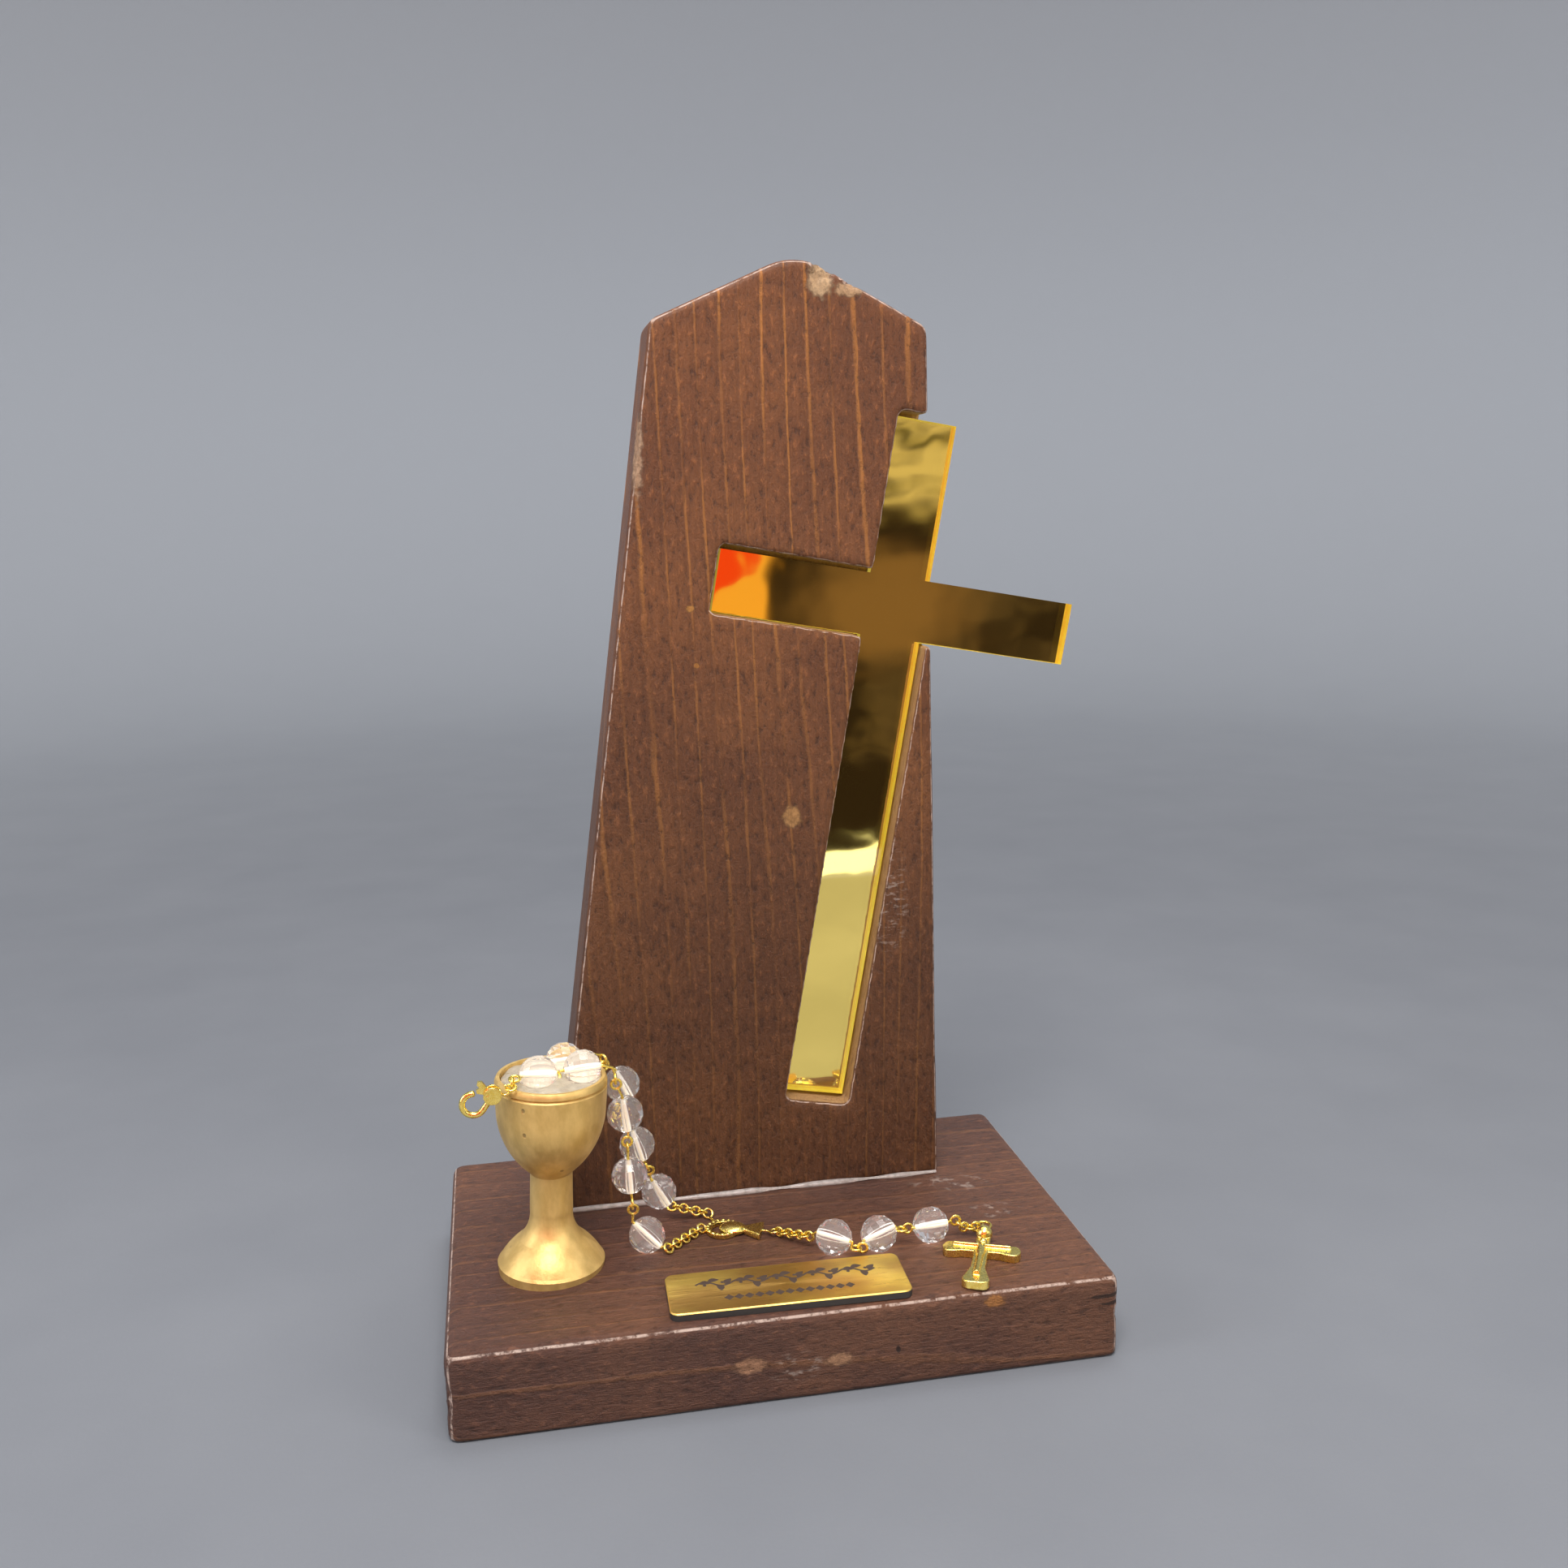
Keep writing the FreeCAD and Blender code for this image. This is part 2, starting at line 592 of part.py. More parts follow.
stand = doc.addObject("Part::Cone", "medal_foot")
stand.Radius1, stand.Radius2, stand.Height = 0.7, 3.1, 4.4
place(stand, in_medal(1.6, 0, 0.75), medal_frame.Rotation.multiply(Rotation(UP, X)))
stand_clip = doc.addObject("Part::Box", "medal_foot_clip")
stand_clip.Length, stand_clip.Width, stand_clip.Height = 8, 8, 1.5
place(stand_clip, in_medal(0, -4, 0), medal_frame.Rotation)
foot = doc.addObject("Part::MultiCommon", "medal_stand")
foot.Shapes = [stand, stand_clip]
dome = doc.addObject("Part::Ellipsoid", "medal_dome")
dome.Radius1, dome.Radius2, dome.Radius3 = 1.2, 3.1, 2.5
place(dome, in_medal(-0.6, 0, 0.95), medal_frame.Rotation)
dome_clip = doc.addObject("Part::Box", "medal_dome_clip")
dome_clip.Length, dome_clip.Width, dome_clip.Height = 10, 10, 4
place(dome_clip, in_medal(-5.6, -5, 0), medal_frame.Rotation)
bowl = doc.addObject("Part::MultiCommon", "medal_bowl")
bowl.Shapes = [dome, dome_clip]
halo = washer("medal_halo", in_medal(-2.9, 0, 0), 3.7, 1.1, 2.6)
pearls = []
for n in range(13):
    angle = radians(60 + 20 * n)
    pearls.append(ball("medal_pearl_%d" % n,
                       in_medal(-2.9 + 3.45 * cos(angle), 3.45 * sin(angle), 0.9), "wire_radius * 1.7"))
medal_loops, arms = [], []
for n, (at, turn, root) in enumerate((
        (MEDAL_LOW, lower_turn[-1], in_medal(-6.0, -0.6, 0.9)),
        (MEDAL_HIGH, upper_turn[-1], in_medal(-5.0, 2.4, 0.9)),
        (MEDAL_OUT, out_turn[-1], in_medal(5.2, 0, 0.9)))):
    medal_loops.append(torus("medal_loop_%d" % n, at, turn))
    arms.append(rod("medal_arm_%d" % n, root, nearest_on_loop((at, turn), root), "wire_radius * 0.93"))
join("centrepiece", [foot, bowl, halo] + pearls + medal_loops + arms)

# ---------------------------------------------------------------- crucifix
ROOD_TURN = -24.0
ROOD_AT = V(43.8, -30.2, base_top + 0.05)
rood_frame = Placement(ROOD_AT, Rotation(UP, ROOD_TURN))


def in_rood(x, y, z):
    return rood_frame.multVec(V(x, y, z))


plate = new_body("rood_plate")
plate.Placement = rood_frame
# lobed arm ends and a flared, lobed foot, half of the outline at a time
right_half = [
    ("rood_lobe", "- rood_foot", "rood_lobe"), ("rood_foot_flare", "- rood_foot + 1.5"),
    ("rood_foot_flare - 0.5", "- rood_foot + 3.2"), ("rood_half", "- rood_foot + 6.4"),
    ("rood_half", "- rood_half + 0.1"), ("rood_arm - 4.2", "- rood_half + 0.1"),
    ("rood_arm - 2.9", "- rood_flare + 0.2"), ("rood_arm - 1.2", "- rood_flare", "rood_lobe"),
    ("rood_arm - 0.1", "- 0.8", "rood_lobe"), ("rood_arm - 0.1", "0.8", "rood_lobe"),
    ("rood_arm - 1.2", "rood_flare"), ("rood_arm - 2.9", "rood_flare - 0.2"),
    ("rood_arm - 4.2", "rood_half - 0.1"), ("rood_half", "rood_half - 0.1"),
    ("rood_half", "rood_top")]


def mirrored(corners):
    """The same corners on the left, in the order that closes the outline anticlockwise."""
    left = []
    for n, corner in enumerate(reversed(corners)):
        before = corners[-n - 2] if n + 2 <= len(corners) else ()
        words = corner[0].split()
        words = ["-" if w == "+" else "+" if w == "-" else w for w in words]
        across = " ".join(["-"] + words)
        left.append((across, corner[1]) + tuple(before[2:3]))
    return left


pad(plate, outline(plate, "RoodPlan", right_half + mirrored(right_half)), "rood_thick")
KNOB_AT = in_rood(0, S["rood_top"] + 1.0, 2.02)
knob = ball("rood_knob", KNOB_AT, "knob_radius")
along_rood = rood_frame.Rotation.multVec(Y)
bail_at = JUMP_AT - along_rood * 1.95
bail = torus("rood_bail", bail_at, along_rood.cross(UP))
bail_stem = rod("rood_stem", KNOB_AT,
                bail_at - along_rood * S["loop_radius"], "wire_radius * 0.93")
join("crucifix", [plate, knob, bail, bail_stem])

figure_top = S["rood_thick"]
trunk = doc.addObject("Part::Ellipsoid", "corpus_trunk")
trunk.Radius1, trunk.Radius2, trunk.Radius3 = 3.2, 0.95, 0.8
place(trunk, in_rood(0, -1.9, figure_top + 0.35), rood_frame.Rotation.multiply(Rotation(X, 90)))
head = ball("corpus_head", in_rood(0.2, 1.85, figure_top + 0.55), "wire_radius * 2.9")
limbs = [rod("corpus_arm_left", in_rood(0, 0.7, figure_top + 0.4), in_rood(-6.2, 0.9, figure_top + 0.3)),
         rod("corpus_arm_right", in_rood(0, 0.7, figure_top + 0.4), in_rood(6.2, 0.9, figure_top + 0.3)),
         rod("corpus_legs", in_rood(0, -4.2, figure_top + 0.35), in_rood(0, -11.5, figure_top + 0.3),
             "wire_radius * 2.3")]
figure = doc.addObject("Part::MultiFuse", "corpus_stock")
figure.Shapes = [trunk, head] + limbs
corpus_clip = doc.addObject("Part::Box", "corpus_clip")
corpus_clip.Length, corpus_clip.Width, corpus_clip.Height = 16, 20, 3
place(corpus_clip, in_rood(-8, -14, figure_top), rood_frame.Rotation)
corpus = doc.addObject("Part::MultiCommon", "corpus")
corpus.Shapes = [figure, corpus_clip]
nodes.append(corpus)

# ---------------------------------------------------------------- clasp
# Built about the middle of its hook, in an upright plane, then tipped up towards the cup.
clasp_frame = Placement(V(-61.6, -21.5, 60.5), Rotation(Y, -15))
PIVOT = V(3.3, 0, 1.5)


def hook_point(degrees):
    return V(cos(radians(degrees)), 0, sin(radians(degrees))) * S["hook_radius"]


def through(name, at, radius, length):
    """Cylinder across the clasp, centred on its plane."""
    piece = doc.addObject("Part::Cylinder", name)
    bind(piece, Radius=radius, Height=length)
    return place(piece, at + V(0, value_of(length.split()[0]) / 2 + (1 if "+" in length else 0), 0),
                 Rotation(X, 90))


hook = doc.addObject("Part::Torus", "hook_arc")
bind(hook, Radius1="hook_radius", Radius2="hook_wire")
hook.Angle3 = 312 - 78
place(hook, V(0, 0, 0), Rotation(X, 90).multiply(Rotation(UP, 78)))
hook_tip = ball("hook_tip", hook_point(78), "hook_wire * 1.04")
hook_knee = ball("hook_knee", hook_point(312), "hook_wire * 1.04")
hook_bar = rod("hook_bar", hook_point(312), PIVOT + V(0.6, 0, -1.3), "hook_wire * 0.97")
cheek = through("clasp_cheek", PIVOT + V(0.9, 0, -0.85), "cheek_radius", "clasp_thick")
nose = rod("clasp_nose", PIVOT + V(0.6, 0, -0.9), PIVOT + V(2.6, 0, -0.85), "hook_wire * 0.9")
eye_at = PIVOT + V(3.55, 0, -0.85)
eye = torus("clasp_eye", eye_at, Y, "link_radius", "wire_radius")
bulk = doc.addObject("Part::MultiFuse", "clasp_bulk")
bulk.Shapes = [hook, hook_tip, hook_bar, hook_knee, cheek, nose, eye]
slot = doc.addObject("Part::Box", "clasp_slot")
slot.Length, slot.Height = 6.0, 6.0
bind(slot, Width="lever_thick + 0.2")
place(slot, PIVOT + V(-2.3, -(S["lever_thick"] + 0.2) / 2, -0.62))
slotted = doc.addObject("Part::Cut", "clasp_slotted")
slotted.Base, slotted.Tool = bulk, slot
clasp_body = doc.addObject("Part::Cut", "clasp_body")
clasp_body.Base = slotted
clasp_body.Tool = through("clasp_hole", PIVOT, "rivet_radius", "clasp_thick + 2")
clasp_body.Placement = clasp_frame
nodes.append(clasp_body)

rivet = through("clasp_pin", PIVOT, "rivet_radius", "clasp_thick")
rivet.Placement = clasp_frame.multiply(rivet.Placement)
nodes.append(rivet)

lever = new_body("lever_plate")
place(lever, PIVOT + V(0, S["lever_thick"] / 2, 0), FACE_UP)
pad(lever, outline(lever, "LeverFace", [
    (0.55, -0.4), (0.75, 0.5), (0.2, 1.5), (-0.2, 2.6), (-1.0, 2.9), (-1.35, 2.3), (-1.0, 1.5),
    (-1.85, 1.25), (-1.9, 0.6), (-0.5, -0.2), (0.1, -0.5)]), "lever_thick")
clasp_lever = doc.addObject("Part::Cut", "clasp_lever")
clasp_lever.Base = lever
clasp_lever.Tool = through("lever_hole", PIVOT, "rivet_bore", "clasp_thick + 2")
clasp_lever.Placement = clasp_frame
nodes.append(clasp_lever)

eye_out = clasp_frame.multVec(eye_at)
ring_at = eye_out + V(1.26, 0.12, 0.42)
ring_two = ring_at + toward(ring_at, clasp_loop[0]) * ((clasp_loop[0] - ring_at).Length / 2)
row_turn = crossed([clasp_loop[0], ring_two, ring_at], clasp_loop[1])
links("clasp_chain", [ring_two, ring_at], row_turn[1:])

# ---------------------------------------------------------------- glue in the cup
turned("cup_glue_stock", [
    (0, "cup_floor + 0.02"), ("cup_floor_radius - 0.03", "cup_floor + 0.02", "bowl_curve"),
    ("cup_inside - 0.56", "bowl_height + 0.5"), ("cup_inside - 0.12", "cup_height - 0.6"),
    ("cup_inside - 3", "cup_height + 0.2"), (0, "cup_height + 0.4")], CUP_FRAME)
hollows = []
for number in (1, 2, 9, 10):
    hollow = doc.addObject("Part::Sphere", "glue_hollow_%02d" % number)
    bind(hollow, Radius="bead_radius + 0.02")
    place(hollow, BEADS[number - 1][1])
    hollows.append(hollow)
for number in (1, 2, 9, 10):
    hollows.append(doc.getObject("eye_pin_%02d" % number))
hollow_all = doc.addObject("Part::MultiFuse", "glue_hollows")
hollow_all.Shapes = hollows
cup_glue = doc.addObject("Part::Cut", "cup_glue")
cup_glue.Base, cup_glue.Tool = doc.getObject("cup_glue_stock"), hollow_all
nodes.append(cup_glue)

# ---------------------------------------------------------------- check and write
doc.recompute()
for thing in doc.Objects:
    assert not {"Invalid", "Error"} & set(thing.State), (thing.Label, thing.State)
os.makedirs("parts", exist_ok=True)
for node in nodes:
    shape = node.Shape
    assert shape.isValid() and shape.Volume > 0, node.Label
    print("%-16s solids %d  volume %9.3f  box %s" % (
        node.Label, len(shape.Solids), shape.Volume,
        [round(v, 1) for v in (shape.BoundBox.XMin, shape.BoundBox.YMin, shape.BoundBox.ZMin,
                               shape.BoundBox.XMax, shape.BoundBox.YMax, shape.BoundBox.ZMax)]))
    shape.exportStep("parts/%s.step" % node.Label)
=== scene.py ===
import json
from math import atan, cos, pi, radians, sin

import bmesh
import bpy
import numpy as np
from mathutils import Matrix, Vector, noise


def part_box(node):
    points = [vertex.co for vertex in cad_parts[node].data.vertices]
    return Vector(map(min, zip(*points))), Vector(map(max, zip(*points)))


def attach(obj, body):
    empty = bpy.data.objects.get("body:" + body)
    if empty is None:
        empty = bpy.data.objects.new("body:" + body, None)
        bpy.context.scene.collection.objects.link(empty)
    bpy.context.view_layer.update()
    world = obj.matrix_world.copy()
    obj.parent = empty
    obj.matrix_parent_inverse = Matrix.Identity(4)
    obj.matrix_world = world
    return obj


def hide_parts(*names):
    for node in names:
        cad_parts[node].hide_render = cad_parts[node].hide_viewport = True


# Looks for a wooden keepsake stand: an L of two stained boards with a gold acrylic cross let into
# the upright one, a small chalice, a name plate and a bead rosary. Metres; +Z up, +Y to the back.
MM = 0.001
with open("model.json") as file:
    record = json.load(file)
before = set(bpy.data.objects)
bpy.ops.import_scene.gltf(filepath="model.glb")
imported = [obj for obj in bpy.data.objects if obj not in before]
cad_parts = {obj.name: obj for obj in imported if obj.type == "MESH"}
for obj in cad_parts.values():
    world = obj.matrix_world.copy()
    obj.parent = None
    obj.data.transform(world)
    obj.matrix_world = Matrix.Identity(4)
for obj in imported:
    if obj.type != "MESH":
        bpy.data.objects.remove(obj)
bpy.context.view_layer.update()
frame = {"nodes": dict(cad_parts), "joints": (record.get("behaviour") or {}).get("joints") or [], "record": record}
nodes = frame["nodes"]
body_of_node = {n: b for b, ns in frame["record"]["behaviour"]["bodies"].items() for n in ns}
slot_of_node = {s["node"]: s["material_slot"] for s in frame["record"]["subparts"]}
BEADS = sorted(n for n in nodes if n.startswith("bead_"))

BASE_LOW, BASE_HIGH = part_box("base_board")
BACK_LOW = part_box("back_board")[0]
PLATE_LOW, PLATE_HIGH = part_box("plaque_face")
LEAN = radians(10.35)                              # of the cross, clockwise from upright
CROSS_AT = Vector((38.0 * MM, 0, 155.5 * MM))      # middle of the crossing
PLATE_TURN = radians(-1.8)
CUP_DENTS = ((-51.8, -23.2, 58.4), (-51.8, -23.0, 53.0))    # millimetres
RING_SPACING = 5.0                                 # growth rings of the boards, millimetres
BORE = 0.55 * MM                                   # radius of the hole through a bead
BENCH_EDGES = (-0.47, -0.06)                       # far and near end of the lit table in front
DIM_BROWN = (0.030, 0.018, 0.012)                  # darkest colour of the reflected room
ENGRAVED = 0.012 * MM                              # lowest and highest parts of the ornament
RAISED = 0.055 * MM


# ---------------------------------------------------------------- shader graph helper
class Graph:
    """Builds one material's nodes. Positions inside it are in millimetres."""

    def __init__(self, name):
        self.material = bpy.data.materials.new(name)
        self.material.use_nodes = True
        self.tree = self.material.node_tree
        self.tree.nodes.clear()
        coordinates = self.node("ShaderNodeTexCoord")
        self.normal = coordinates.outputs["Normal"]
        self.place = self.vector("MULTIPLY", coordinates.outputs["Object"], (1000, 1000, 1000))

    def node(self, kind, **settings):
        made = self.tree.nodes.new(kind)
        for name, value in settings.items():
            setattr(made, name, value)
        return made

    def feed(self, socket, value):
        if isinstance(value, bpy.types.NodeSocket):
            self.tree.links.new(value, socket)
        elif socket.type == "RGBA" and len(value) == 3:
            socket.default_value = (*value, 1)
        else:
            socket.default_value = value

    def math(self, operation, *values):
        made = self.node("ShaderNodeMath", operation=operation)
        for socket, value in zip(made.inputs, values):
            self.feed(socket, value)
        return made.outputs[0]

    def vector(self, operation, *values):
        made = self.node("ShaderNodeVectorMath", operation=operation)
        for socket, value in zip(made.inputs, values):
            self.feed(socket, value)
        return made.outputs["Value" if operation in ("LENGTH", "DOT_PRODUCT") else "Vector"]

    def value(self, number):
        made = self.node("ShaderNodeValue")
        made.outputs[0].default_value = number
        return made.outputs[0]

    def split(self, vector):
        made = self.node("ShaderNodeSeparateXYZ")
        self.feed(made.inputs[0], vector)
        return made.outputs

    def joined(self, x, y, z):
        made = self.node("ShaderNodeCombineXYZ")
        for socket, value in zip(made.inputs, (x, y, z)):
            self.feed(socket, value)
        return made.outputs[0]

    def product(self, first, *others):
        result = first
        for other in others:
            result = self.math("MULTIPLY", result, other)
        return result

    def sum(self, first, *others):
        result = first
        for other in others:
            result = self.math("ADD", result, other)
        return result

    def noise(self, vector, scale, detail=3.0, rough=0.5, twist=0.0):
        made = self.node("ShaderNodeTexNoise")
        for name, value in (("Vector", vector), ("Scale", scale), ("Detail", detail),
                            ("Roughness", rough), ("Distortion", twist)):
            self.feed(made.inputs[name], value)
        return made.outputs[0]

    def cells(self, vector, scale):
        made = self.node("ShaderNodeTexVoronoi")
        self.feed(made.inputs["Vector"], vector)
        self.feed(made.inputs["Scale"], scale)
        return made.outputs[0]

    def step(self, value, low, high, start=0.0, end=1.0):
        """Smooth step of a value from start at low to end at high."""
        made = self.node("ShaderNodeMapRange", interpolation_type="SMOOTHSTEP")
        for name, given in (("Value", value), ("From Min", low), ("From Max", high),
                            ("To Min", start), ("To Max", end)):
            self.feed(made.inputs[name], given)
        return made.outputs[0]

    def mix(self, share, first, second, blend="MIX"):
        made = self.node("ShaderNodeMix", data_type="RGBA", blend_type=blend)
        self.feed(made.inputs[0], share)
        self.feed(made.inputs[6], first)
        self.feed(made.inputs[7], second)
        return made.outputs[2]

    def spot(self, centre, radii, soft=0.35, ragged=0.25):
        """1 inside an ellipsoid with a ragged edge, 0 outside."""
        away = self.vector("SUBTRACT", self.place, centre)
        away = self.vector("DIVIDE", away, radii)
        far = self.vector("LENGTH", away)
        wobble = self.math("MULTIPLY_ADD", self.noise(self.place, 0.9, 4), 2 * ragged, -ragged)
        return self.step(self.math("ADD", far, wobble), 1 + soft, 1 - soft)

    def total(self, *masks):
        result = masks[0]
        for mask in masks[1:]:
            result = self.math("MAXIMUM", result, mask)
        return result

    def bump(self, height, depth):
        """depth is the height in millimetres that a value of 1 stands for."""
        made = self.node("ShaderNodeBump")
        self.feed(made.inputs["Height"], height)
        made.inputs["Distance"].default_value = depth * MM
        return made.outputs[0]

    def shader(self, kind="BsdfPrincipled", **sockets):
        made = self.node("ShaderNode" + kind)
        for name, value in sockets.items():
            self.feed(made.inputs[name.replace("_", " ")], value)
        return made.outputs[0]

    def finished(self, shader):
        """Makes a shader the material's surface; returns the material."""
        out = self.node("ShaderNodeOutputMaterial")
        self.tree.links.new(shader, out.inputs[0])
        return self.material

    def surface(self, **sockets):
        return self.finished(self.shader(**sockets))


# ---------------------------------------------------------------- materials
def stained_wood(name, across, along, depth, heart, dark, mid, line, fade=None, raw=None, spots=(),
                 scars=()):
    """Dark stained pine. across, along and depth name the grain's axes; heart is the tree's axis
    in (across, depth); fade gives two heights and the factor the colour is scaled by at each,
    darker and more purple low, brighter and more orange high; raw is where the stain never
    reached; spots are light knots, bare patches and a few small dark marks, scars whitish smears."""
    g = Graph(name)
    xyz = dict(zip("xyz", g.split(g.place)))
    a, l, d = xyz[across], xyz[along], xyz[depth]

    def stretched(cross_scale, long_scale):
        return g.joined(g.product(a, cross_scale), g.product(l, long_scale), g.product(d, cross_scale))

    # growth rings, bent away from true circles by drift
    drift = g.math("MULTIPLY_ADD", g.noise(stretched(0.022, 0.0035), 1.0, 1), 22.0, -11.0)
    drift = g.sum(drift, g.product(g.noise(stretched(0.4, 0.06), 1.0, 3), 0.8))
    drift = g.math("MULTIPLY_ADD", g.noise(stretched(0.13, 0.001), 1.0, 1), 4.5, drift)
    from_heart = g.vector("LENGTH", g.joined(g.math("SUBTRACT", a, heart[0]),
                                             g.math("SUBTRACT", d, heart[1]), 0.0))
    phase = g.math("FRACT", g.math("DIVIDE", g.sum(from_heart, drift), RING_SPACING))
    ragged = g.joined(a, g.product(l, 0.25), d)
    phase = g.sum(phase, g.math("MULTIPLY_ADD", g.noise(ragged, 1.2, 3), 0.10, -0.05))
    late = g.product(g.step(phase, 0.76, 0.86), g.step(phase, 0.96, 0.90))
    dusk = g.product(g.step(phase, 0.40, 0.74), g.step(phase, 0.84, 0.77))

    # colour: stain, dark early wood, light late-wood lines, fibres, and flecks painted as lit and shaded raised
    # fibres
    grain = g.joined(a, g.product(l, 0.045), d)
    broken = g.step(g.noise(g.vector("MULTIPLY", grain, (0.16, 0.7, 0.16)), 1.0, 3), 0.36, 0.62)
    fibres = g.noise(grain, 2.2, 5, 0.62)
    cloud = g.noise(g.place, 0.022, 5, 0.6)
    base = g.mix(g.step(cloud, 0.32, 0.68), dark, mid)
    base = g.mix(g.product(dusk, 0.22), base, tuple(c * 0.6 for c in dark))
    lines = g.product(late, g.math("MULTIPLY_ADD", broken, 0.48, 0.06))
    if fade:
        lines = g.product(lines, g.step(xyz["z"], fade[0], fade[1], 0.45, 1.0))
    base = g.mix(lines, base, line)
    shade = g.step(fibres, 0.32, 0.70, 0.90, 1.08)
    base = g.mix(1.0, base, g.joined(shade, shade, shade), "MULTIPLY")
    nap = g.noise(g.joined(a, g.product(l, 0.45), d), 0.85, 6, 0.75)
    # painted highlight and shade: light and dark flecks stand for raised fibres lit on one side and shaded on the
    # other, placed at random
    base = g.mix(g.step(nap, 0.54, 0.66, 0.0, 0.42), base, tuple(c * 1.9 for c in mid))
    base = g.mix(g.step(nap, 0.47, 0.36, 0.0, 0.60), base, (0.032, 0.013, 0.009))
    # darker and more purple towards the bottom, brighter and more orange towards the top
    if fade:
        strength = g.step(xyz["z"], *fade)
        base = g.mix(1.0, base, g.joined(strength, g.math("POWER", strength, 0.85),
                                         g.math("POWER", strength, 0.6)), "MULTIPLY")

    # painted highlight on the rounded arrises, where the edges face between two sides, broken into patches
    facing = g.total(*g.split(g.vector("ABSOLUTE", g.normal))[:3])
    arris_highlight = g.product(g.step(facing, 0.82, 0.74), g.step(g.noise(g.place, 0.35, 5, 0.75), 0.38, 0.56))
    base = g.mix(g.product(arris_highlight, 0.72), base, (0.74, 0.55, 0.46))

    # knots, bare patches and smears
    bare = g.value(0.0)
    for centre, radii, colour in spots:
        mask = g.spot(centre, radii, 0.25, 0.55)
        rim = g.product(mask, g.math("SUBTRACT", 1.0, mask))
        patchy = g.step(g.noise(g.place, 1.1, 5, 0.7), 0.36, 0.62)
        pale = g.mix(patchy, tuple(c * 0.68 for c in colour), colour)
        base = g.mix(g.product(mask, 0.88), base, pale)
        base = g.mix(g.product(rim, 1.3), base, (0.035, 0.016, 0.010))
        bare = g.math("MAXIMUM", bare, mask)
    for centre, radii in scars:
        flecks = g.noise(g.vector("MULTIPLY", g.place, (0.5, 0.5, 1.5)), 0.7, 5, 0.65)
        smear = g.product(g.spot(centre, radii), g.step(flecks, 0.52, 0.64))
        base = g.mix(g.product(smear, 0.42), base, (0.52, 0.42, 0.36))
    if raw:
        tan_wood = g.mix(fibres, (0.30, 0.13, 0.05), (0.66, 0.42, 0.20))
        base = g.mix(g.product(raw(g), g.step(nap, 0.30, 0.55, 0.55, 1.0)), base, tan_wood)
    relief = g.sum(g.product(fibres, 0.4), g.product(late, 0.25), g.product(nap, 1.5))
    rough = g.sum(g.step(nap, 0.3, 0.7, 0.34, 0.50), g.product(bare, 0.15))
    return g.surface(Base_Color=base, Roughness=rough, Normal=g.bump(relief, 0.55),
                     Specular_IOR_Level=0.32, Coat_Weight=0.06, Coat_Roughness=0.22)


def recess_walls(g):
    """1 on the walls and floor cut for the cross: behind the board's face, away from its outside."""
    x, y, z = g.split(g.place)[:3]
    face = BACK_LOW.y / MM
    within = g.product(g.step(y, face + 0.5, face + 1.3), g.step(y, face + 8.6, face + 8.3))
    x = g.math("SUBTRACT", x, CROSS_AT.x / MM)
    z = g.math("SUBTRACT", z, CROSS_AT.z / MM)
    right = g.sum(g.product(x, cos(LEAN)), g.product(z, -sin(LEAN)))
    up = g.sum(g.product(x, sin(LEAN)), g.product(z, cos(LEAN)))
    upright = g.product(g.step(g.math("ABSOLUTE", right), 9.4, 8.9), g.step(up, -119.5, -118.8),
                        g.step(up, 44.0, 43.5))
    bar = g.product(g.step(g.math("ABSOLUTE", up), 9.6, 9.1), g.step(right, -44.4, -43.9))
    return g.product(g.total(upright, bar), within)


def amber_acrylic():
    """Tinted clear sheet; its cut edges carry the light and show lemon yellow, with a painted glow."""
    g = Graph("gold_acrylic")
    face = g.math("ABSOLUTE", g.split(g.normal)[1])
    edge = g.step(face, 0.85, 0.5)
    clear = g.shader(Base_Color=(0.985, 0.885, 0.32), Roughness=0.015, IOR=1.49, Transmission_Weight=1.0)
    saw = g.noise(g.vector("MULTIPLY", g.place, (1.0, 6.0, 1.0)), 1.3, 3)
    lit = g.mix(g.step(saw, 0.35, 0.65), (0.88, 0.70, 0.06), (1.0, 0.92, 0.22))
    # painted glow: the cut edges emit a little light of their own, standing in for light the sheet carries to them
    cut = g.shader(Base_Color=lit, Roughness=0.28, Emission_Color=lit, Emission_Strength=0.24,
                   Normal=g.bump(saw, 0.05))
    both = g.node("ShaderNodeMixShader")
    for socket, value in zip(both.inputs, (edge, clear, cut)):
        g.feed(socket, value)
    return g.finished(both.outputs[0])


def mirror_film():
    g = Graph("gold_mirror")
    ripple = g.noise(g.place, 0.05, 2)
    tint = g.mix(g.noise(g.place, 0.02, 2), (0.97, 0.93, 0.84), (0.92, 0.88, 0.78))
    return g.surface(Base_Color=tint, Metallic=1.0, Roughness=0.03, Normal=g.bump(ripple, 0.12))


def mirror_backing():
    """Grey protective paint on the back of the mirror film."""
    g = Graph("mirror_backing")
    streak = g.noise(g.vector("MULTIPLY", g.place, (1.0, 1.0, 0.1)), 0.8, 4)
    return g.surface(Base_Color=g.mix(streak, (0.28, 0.28, 0.27), (0.38, 0.37, 0.35)),
                     Roughness=g.step(streak, 0.3, 0.7, 0.42, 0.6), Normal=g.bump(streak, 0.03))


def bright_gold(name, colour, rough=0.16, grit=0.5):
    """Thin bright plating with a little orange peel and dulled patches."""
    g = Graph(name)
    patch = g.noise(g.place, 0.9, 4, 0.6)
    deep = tuple(c * f for c, f in zip(colour, (0.90, 0.82, 0.55)))
    tint = g.mix(g.step(patch, 0.35, 0.7), colour, deep)
    rub = g.step(g.noise(g.place, 2.6, 5, 0.7), 0.3, 0.75, rough * 0.6, rough * 1.9)
    return g.surface(Base_Color=tint, Metallic=1.0, Roughness=rub,
                     Normal=g.bump(g.noise(g.place, 3.0, 4, 0.6), 0.03 * grit))


